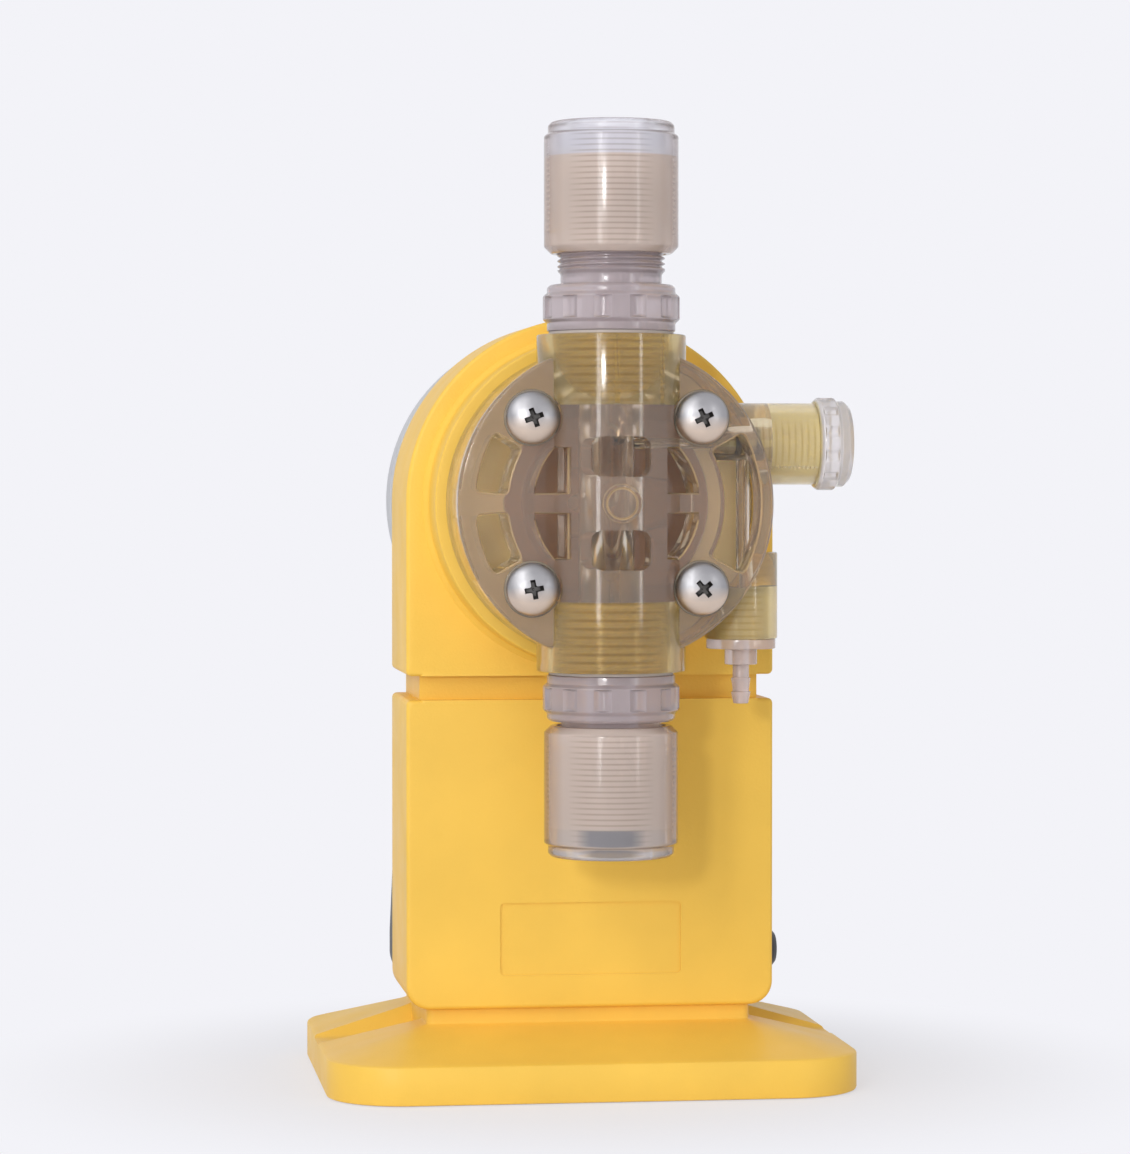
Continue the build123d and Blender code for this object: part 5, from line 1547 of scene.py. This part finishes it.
    def build(self) -> None:
        """Carve the head and dress it with its diaphragm and backing."""
        rear = self.rear - CLEARANCE
        disc = Turned("pump_head_finished", self.centre, [
            (0, self.front), (self.radius - 0.6, self.front), (self.radius, self.front + 0.6),
            (self.radius, rear), (0, rear),
        ], ease=0.3, segments=160).build()
        head = carved(disc, self.solids() + self.pockets() + self.bores())
        self.filmed(self.dress(head, Finish.HEAD, "pump_head"))
        self.turned("backing_plate", Finish.BACKING, Turned("backing_plate_finished", self.centre, [
            (4.3, -42.3), (19.7, -42.3), (19.7, -44.8), (34.5, -44.8), (34.5, -39.8), (4.3, -39.8),
        ], True, 0.3, 128))
        self.turned("diaphragm", Finish.DIAPHRAGM, Turned("diaphragm_finished", self.centre, [
            (8.0, -47.8), (11.0, -46.6), (16.7, -46.6), (19.7, -47.8), (23.38, -47.8), (23.38, -44.8),
            (11.0, -44.8), (8.0, -44.25),
        ], True, 0.3, 128))
        hub = Turned("diaphragm_hub", self.centre, [
            (0, -48.4), (7.0, -48.4), (7.9, -47.8), (7.9, -44.25), (4.15, -44.25), (4.15, -46.9),
            (2.45, -46.9), (2.45, -47.0), (0, -47.0),
        ], ease=0.2)
        self.dress(hub.build(), Finish.DIAPHRAGM, "drive_shaft", replace=False)


@dataclass
class Valve(Assembly):
    """One screwed valve: threaded body, seat, ball, seal, clamp ring and long coupling nut."""

    prefix: str = "discharge"
    port: float = PORTS[1]
    way: int = 1
    backed_off: float = 6.0
    pitch: float = 1.25
    port_pitch: float = 1.5
    home: float = 12.3
    ball_radius: float = 5.0

    @property
    def station(self) -> Station:
        """The valve tube's axis."""
        return Station(Axis.UP, (0, TUBE_Y, 0))

    def at(self, reach: float) -> float:
        """Height at a distance outwards from the port face."""
        return self.port + self.way * reach

    def body(self) -> Turned:
        """Threaded shank, lugged collar and long threaded neck, bored through."""
        outline = [
            (4.5, -15.7 if self.way > 0 else -1.0), (7.0, -15.7), (12.7, -15.7), (13.3, -14.9), (13.3, 0.8),
            (14.6, 0.8), (14.6, 2.6), (15.55, 3.4), (15.55, 8.7), (14.6, 9.5), (14.6, 10.6), (13.9, 11.3),
            (11.5, 11.3), (11.5, 13.7), (12.25, 14.5), (12.25, 34.5), (11.45, 35.3), (4.5, 35.3),
        ]
        shank, neck, lugs = (
            sorted(self.at(reach) for reach in ends) for ends in ((-14.9, 0.0), (14.0, 35.3), (3.4, 8.7))
        )
        cuts = (
            Thread(13.3, *shank, self.port_pitch, 0.9), Thread(12.25, *neck, self.pitch, 0.75),
            Lugs(15.55, *lugs, 12, 0.75, 0.45, 1.2),
        )
        points = [(radius, self.at(reach)) for radius, reach in outline]
        return Turned(f"{self.prefix}_valve_body_finished", self.station, points, True, 0.3, 144, cuts)

    def nut(self) -> Turned:
        """Long smooth nut: chamfered open end, threaded inside, lipped end wall."""
        length, mouth = 29.9, self.home + self.backed_off
        outline = [
            (12.45, 0.0), (13.7, 0.0), (15.3, 1.6), (15.3, length - 3.2), (14.4, length - 2.6),
            (14.4, length - 0.8), (13.6, length), (9.0, length), (9.0, length - 3.1), (12.45, length - 3.1),
        ]
        inner = sorted((self.at(mouth + 4.0), self.at(mouth + length - 6.0)))
        points = [(radius, self.at(mouth + reach)) for radius, reach in outline]
        cut = Thread(12.45, *inner, self.pitch, 0.7, inward=True)
        return Turned(f"{self.prefix}_nut_finished", self.station, points, True, 0.35, 144, (cut,))

    def ring(self, name: str, inner: float, outer: float, inset: float = 0.0, ease: float = 0.3) -> Turned:
        """Plain ring on the tube axis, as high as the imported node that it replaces.

        Args:
            name: Name of the piece, without the valve's.
            inner: Inner radius.
            outer: Outer radius.
            inset: How much each end stands back from the node's.
            ease: Radius of its edges.

        Returns:
            The ring.
        """
        low, high = height_span(f"{self.prefix}_{name}")
        low, high = low + inset, high - inset
        points = [(inner, low), (outer, low), (outer, high), (inner, high)]
        return Turned(f"{self.prefix}_{name}_finished", self.station, points, True, ease)

    def ball(self) -> Piece:
        """Valve ball: a half circle turned about the tube axis."""
        middle = sum(height_span(f"{self.prefix}_ball")) / 2
        angle = np.linspace(-np.pi / 2, np.pi / 2, 25)
        outline = self.ball_radius * np.stack([np.cos(angle), np.sin(angle)], axis=1) + (0.0, middle)
        outline[[0, -1], 0] = 0.0
        return Turned(f"{self.prefix}_ball_finished", self.station, outline, ease=0.0, segments=48).build()

    def build(self) -> None:
        """Build and dress the valve's pieces."""
        clamp, bore = (Finish.BODY, 7.0) if self.way > 0 else (Finish.BLUE_GREY, 6.3)
        for name, finish, shape in (
            ("valve_body", Finish.BODY, self.body()), ("nut", Finish.NUT, self.nut()),
            ("ferrule", clamp, self.ring("ferrule", bore, 12.25)),
            ("seat", Finish.PTFE, self.ring("seat", 3.5, 6.95)),
            ("seal", Finish.SILICONE, self.ring("seal", 13.4, 14.2, 0.05, 0.2)),
        ):
            self.turned(f"{self.prefix}_{name}", finish, shape)
        self.dress(self.ball(), Finish.CERAMIC, f"{self.prefix}_ball")


@dataclass
class Bleed(Assembly):
    """Bleed valve on the side arm, and the barbed return nozzle below it."""

    arm: Station = Station(Axis.WIDTH, (0, ARM_Y, BLEED_Z))
    back: Station = Station(Axis.UP, (RETURN_X, ARM_Y, 0))
    grooves: Pair = (29.2, 33.2)

    def screw(self) -> Turned:
        """Needle, grooves, threaded shank and lugged cap."""
        outline = [(0, 24.6), (1.2, 24.6), (3.6, 27.8)]
        for start in self.grooves:
            outline += [(3.6, start), (2.6, start), (2.6, start + 1.9), (3.6, start + 1.9)]
        outline += [
            (3.6, 37.6), (7.0, 37.6), (7.0, 48.25), (9.9, 48.25), (10.65, 49.05), (10.65, 52.65),
            (9.9, 53.25), (9.9, 54.95), (8.7, 56.15), (0, 56.15),
        ]
        cuts = (Thread(7.0, 37.6, 48.25, 1.0, 0.55), Lugs(10.65, 49.05, 52.65, 12, 0.6, 0.45, 1.0))
        return Turned("bleed_screw_finished", self.arm, outline, False, 0.25, 144, cuts)

    def o_rings(self) -> Piece:
        """Two rubber rings in the screw's grooves, a small circle turned about the arm's axis."""
        angle = np.linspace(0, 2 * np.pi, 16, endpoint=False)
        circle = 0.65 * np.stack([np.cos(angle), np.sin(angle)], axis=1)
        rings = [
            Turned("ring", self.arm, (3.3, start + 0.95) + circle, True, 0.0, 64).build()
            for start in self.grooves
        ]
        return joined("bleed_o_rings_finished", rings)

    def nozzle(self) -> Turned:
        """Threaded nozzle with a flange, a collar and a hose tail."""
        outline = [
            (1.3, 118.2), (6.3, 118.2), (6.3, 107.6), (8.0, 107.6), (8.0, 105.3), (3.75, 105.3),
            (3.75, 101.6), (1.9, 101.6), (1.9, 98.6), (2.26, 98.5), (1.9, 96.1), (1.9, 95.4), (2.26, 95.3),
            (1.7, 92.6), (1.3, 92.6),
        ]
        cut = Thread(6.3, 107.6, 118.2, 1.0, 0.55)
        return Turned("return_nozzle_finished", self.back, outline, True, 0.25, cuts=(cut,))

    def build(self) -> None:
        """Build and dress the bleed valve and the return nozzle."""
        self.turned("bleed_screw", Finish.BLEED, self.screw())
        self.dress(self.o_rings(), Finish.RUBBER, "bleed_o_rings")
        self.turned("return_nozzle", Finish.NOZZLE, self.nozzle())
        outline = [(2.8, 118.2), (6.45, 118.2), (6.45, 119.6), (2.8, 119.6)]
        seal = Turned("return_seal_finished", self.back, outline, True, 0.3, 64)
        self.turned("return_seal", Finish.RUBBER, seal)


@dataclass
class HeadFasteners(Assembly):
    """Four polished pan-head screws with a cross recess, on plain washers."""

    seat: float = -71.7
    rim: float = 0.9
    crown: float = -75.7
    head_radius: float = 6.0
    turns_deg: tuple[float, float, float, float] = (10.0, 20.0, 40.0, 25.0)

    def dome(self, share: Points) -> Points:
        """Place of the head's surface at a share of its radius: seat - rim - rise sqrt(1 - share^2)."""
        edge = self.seat - self.rim
        return edge - (edge - self.crown) * np.sqrt(np.clip(1 - share**2, 0, 1))

    def screw(self, x: float, z: float, turned: float) -> Piece:
        """One screw: short rim, quarter-ellipse dome, shank, and a tapered cross recess.

        Args:
            x: Place of its axis.
            z: Height of its axis.
            turned: Turn of its recess, in degrees.

        Returns:
            The screw.
        """
        station = Station(Axis.DEPTH, (x, 0, z))
        sweep = np.linspace(np.pi / 2, 0, 14)
        edge = self.seat - self.rim
        rise = edge - self.crown
        dome = np.stack([self.head_radius * np.cos(sweep), edge - rise * np.sin(sweep)], axis=1)
        dome[0, 0] = 0.0
        outline = [
            *map(tuple, dome), (self.head_radius, self.seat), (3.0, self.seat), (3.0, -34.0), (2.4, -33.7),
            (0, -33.7),
        ]
        body = Turned("screw", station, outline, ease=0.12, segments=72).build()
        steps = []
        for quarter in (0.0, 90.0):
            turn = math.radians(turned + quarter)
            spin = np.array([(math.cos(turn), math.sin(turn)), (-math.sin(turn), math.cos(turn))])
            blade = []
            for depth, span, width in ((-1.0, 5.0, 1.35), (0.4, 4.3, 1.15), (2.3, 3.2, 0.9)):
                flat = np.array([(-span, -width), (span, -width), (span, width), (-span, width)]) / 2
                blade.append((flat @ spin + (x, z), self.crown + depth))
            steps.append((Cut.TAKE, stack("blade", blade, Axis.DEPTH)))
        hollow = ((0, -1.0), (1.1, -1.0), (0.95, 1.6), (0, 2.6))
        pit = [(radius, self.crown + depth) for radius, depth in hollow]
        steps.append((Cut.TAKE, Turned("pit", station, pit, ease=0.0, segments=24).build()))
        return carved(body, steps, 30.0)

    def paint_recess_shade(self, piece: Piece) -> None:
        """Paint shade onto the faces inside the recesses, whose middles lie well below the dome, with a
        darker finish.
        """
        piece.data.materials.append(Finish.SOILED.material)
        middles = face_values(piece.data, "center") / MM
        slots = np.zeros(len(middles), dtype=np.int32)
        for x, z in SCREWS:
            share = np.hypot(middles[:, 0] - x, middles[:, 2] - z) / self.head_radius
            sunk = middles[:, 1] > self.dome(share) + 0.06
            slots[(share < 0.5) & sunk & (middles[:, 1] < self.seat)] = 1
        piece.data.polygons.foreach_set("material_index", slots)

    def build(self) -> None:
        """Build and dress the screws and washers."""
        screws = [self.screw(x, z, turned) for (x, z), turned in zip(SCREWS, self.turns_deg)]
        heads = self.dress(joined("head_screws_finished", screws, 30.0), Finish.STEEL, "head_screws")
        self.paint_recess_shade(heads)
        washer = [(3.3, self.seat), (6.4, self.seat), (6.4, -71.3), (3.3, -71.3)]
        washers = [
            Turned("washer", Station(Axis.DEPTH, (x, 0, z)), washer, True, 0.1, 72).build()
            for x, z in SCREWS
        ]
        self.dress(joined("head_washers_finished", washers), Finish.WASHER, "head_washers")


# ---------------------------------------------------------------- stage
@dataclass(frozen=True)
class Studio:
    """Camera, soft lamps, pale floor and white surroundings."""

    camera_place: Triple = (-0.1288, -0.9529, 0.144)
    pitch_deg: float = 88.6
    yaw_deg: float = -7.56
    lens: float = 123.4
    floor_colour: Colour = linear(234, 233, 236)
    white: Colour = linear(243, 243, 248)
    fade_from: float = 0.06
    fade_to: float = 0.16
    fade_least: float = 0.6
    ambient: float = 0.49
    floor_half: float = 6.0
    floor_z: float = -0.0002
    subject: Triple = (0.0, 0.0, 0.11)
    bounces: int = 24

    def camera(self) -> None:
        """Place the camera; the sensor width lies along the long side of the frame."""
        data = bpy.data.cameras.new("camera")
        data.lens = self.lens
        data.sensor_width = 36.0
        data.sensor_fit = "AUTO"
        camera = linked("camera", data)
        camera.location = self.camera_place
        camera.rotation_euler = (math.radians(self.pitch_deg), 0.0, math.radians(self.yaw_deg))
        bpy.context.scene.camera = camera

    def lamp(
        self, name: str, place: Triple, size: Pair, power: float, target: Triple
    ) -> None:
        """Add a rectangular area lamp that faces a target.

        Args:
            name: Name of the lamp.
            place: Where it stands, in metres.
            size: Width and height in metres.
            power: Power in watts.
            target: Point that it faces.
        """
        data = bpy.data.lights.new(name, "AREA")
        data.shape = "RECTANGLE"
        data.size, data.size_y = size
        data.energy = power
        lamp = linked(name, data)
        lamp.location = place
        aim = Vector(target) - Vector(place)
        lamp.rotation_euler = aim.to_track_quat("-Z", "Y").to_euler()

    def white_rays(self, tree: bpy.types.NodeTree) -> Socket:
        """One for camera, mirror and transmitted rays, nought for the rays that light the object."""
        seen = tree.nodes.new("ShaderNodeLightPath")
        share = seen.outputs["Is Camera Ray"]
        for kind in ("Is Glossy Ray", "Is Transmission Ray"):
            larger = tree.nodes.new("ShaderNodeMath")
            larger.operation = "MAXIMUM"
            tree.links.new(share, larger.inputs[0])
            tree.links.new(seen.outputs[kind], larger.inputs[1])
            share = larger.outputs[0]
        return share

    def surroundings(self) -> None:
        """White behind the object, a plainer grey for the rays that light it."""
        world = bpy.data.worlds.new("surroundings")
        bpy.context.scene.world = world
        world.use_nodes = True
        tree = world.node_tree
        tree.nodes.clear()
        seen = tree.nodes.new("ShaderNodeBackground")
        seen.inputs["Color"].default_value = self.white
        lighting = tree.nodes.new("ShaderNodeBackground")
        lighting.inputs["Color"].default_value = (1.0, 0.99, 0.98, 1.0)
        lighting.inputs["Strength"].default_value = self.ambient
        mix = tree.nodes.new("ShaderNodeMixShader")
        output = tree.nodes.new("ShaderNodeOutputWorld")
        tree.links.new(self.white_rays(tree), mix.inputs[0])
        tree.links.new(lighting.outputs[0], mix.inputs[1])
        tree.links.new(seen.outputs[0], mix.inputs[2])
        tree.links.new(mix.outputs[0], output.inputs["Surface"])

    def fade(self, recipe: Recipe) -> None:
        """Blend the lit floor into plain white with distance, for seen rays only."""
        radius = recipe.add("ShaderNodeVectorMath", operation="LENGTH")
        recipe.link(recipe.place, radius.inputs[0])
        span, target = (self.fade_from, self.fade_to), (self.fade_least, 1.0)
        distance = recipe.span(radius.outputs["Value"], span, target, "SMOOTHSTEP")
        share = recipe.maths("MULTIPLY", distance, self.white_rays(recipe.tree))
        white = recipe.add("ShaderNodeEmission")
        white.inputs["Color"].default_value = self.white
        mix = recipe.add("ShaderNodeMixShader")
        recipe.link(share, mix.inputs[0])
        recipe.link(recipe.shader.outputs[0], mix.inputs[1])
        recipe.link(white.outputs[0], mix.inputs[2])
        recipe.link(mix.outputs[0], recipe.output.inputs["Surface"])

    def floor(self) -> None:
        """Wide pale floor under the foot; it fades into the white surroundings with distance."""
        mesh = bpy.data.meshes.new("floor")
        corners = [(x * self.floor_half, y * self.floor_half, self.floor_z)
                   for x, y in ((-1, -1), (1, -1), (1, 1), (-1, 1))]
        mesh.from_pydata(corners, [], [(0, 1, 2, 3)])
        floor = linked("floor", mesh)
        recipe = Recipe("pale_floor")
        recipe.worn(self.floor_colour, 3.0, 3.0, 0.99, 1.01)
        recipe.put(Roughness=0.9)
        self.fade(recipe)
        mesh.materials.append(recipe.material)

    def build(self) -> None:
        """Make the whole stage."""
        self.camera()
        self.lamp("key", (-0.75, -0.75, 0.95), (0.9, 0.9), 5.6, self.subject)
        self.lamp("front", (-0.43, -1.26, 0.33), (0.1, 0.1), 2.8, self.subject)
        self.lamp("strip_left", (-0.57, -1.17, 0.42), (0.13, 0.95), 3.1, (0.0, 0.0, 0.42))
        self.lamp("strip_right", (0.78, -1.04, 0.4), (0.1, 0.85), 1.5, (0.0, 0.0, 0.4))
        self.surroundings()
        self.floor()
        scene = bpy.context.scene
        scene.view_settings.view_transform = "Standard"
        scene.cycles.max_bounces = self.bounces
        scene.cycles.transmission_bounces = self.bounces
        scene.cycles.glossy_bounces = 8


def main() -> None:
    """Load the frame, dress it, stage it and finish."""
    logging.basicConfig(level=logging.INFO, format="%(name)s: %(message)s")
    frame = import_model()
    for assembly in (
        Foot(frame), Housing(frame), Controls(frame), Solenoid(frame), PumpHead(frame),
        Valve(frame), Valve(frame, prefix="suction", port=PORTS[0], way=-1, backed_off=0.0),
        Bleed(frame), HeadFasteners(frame),
    ):
        assembly.build()
    Studio().build()


if __name__ == "__main__":
    main()
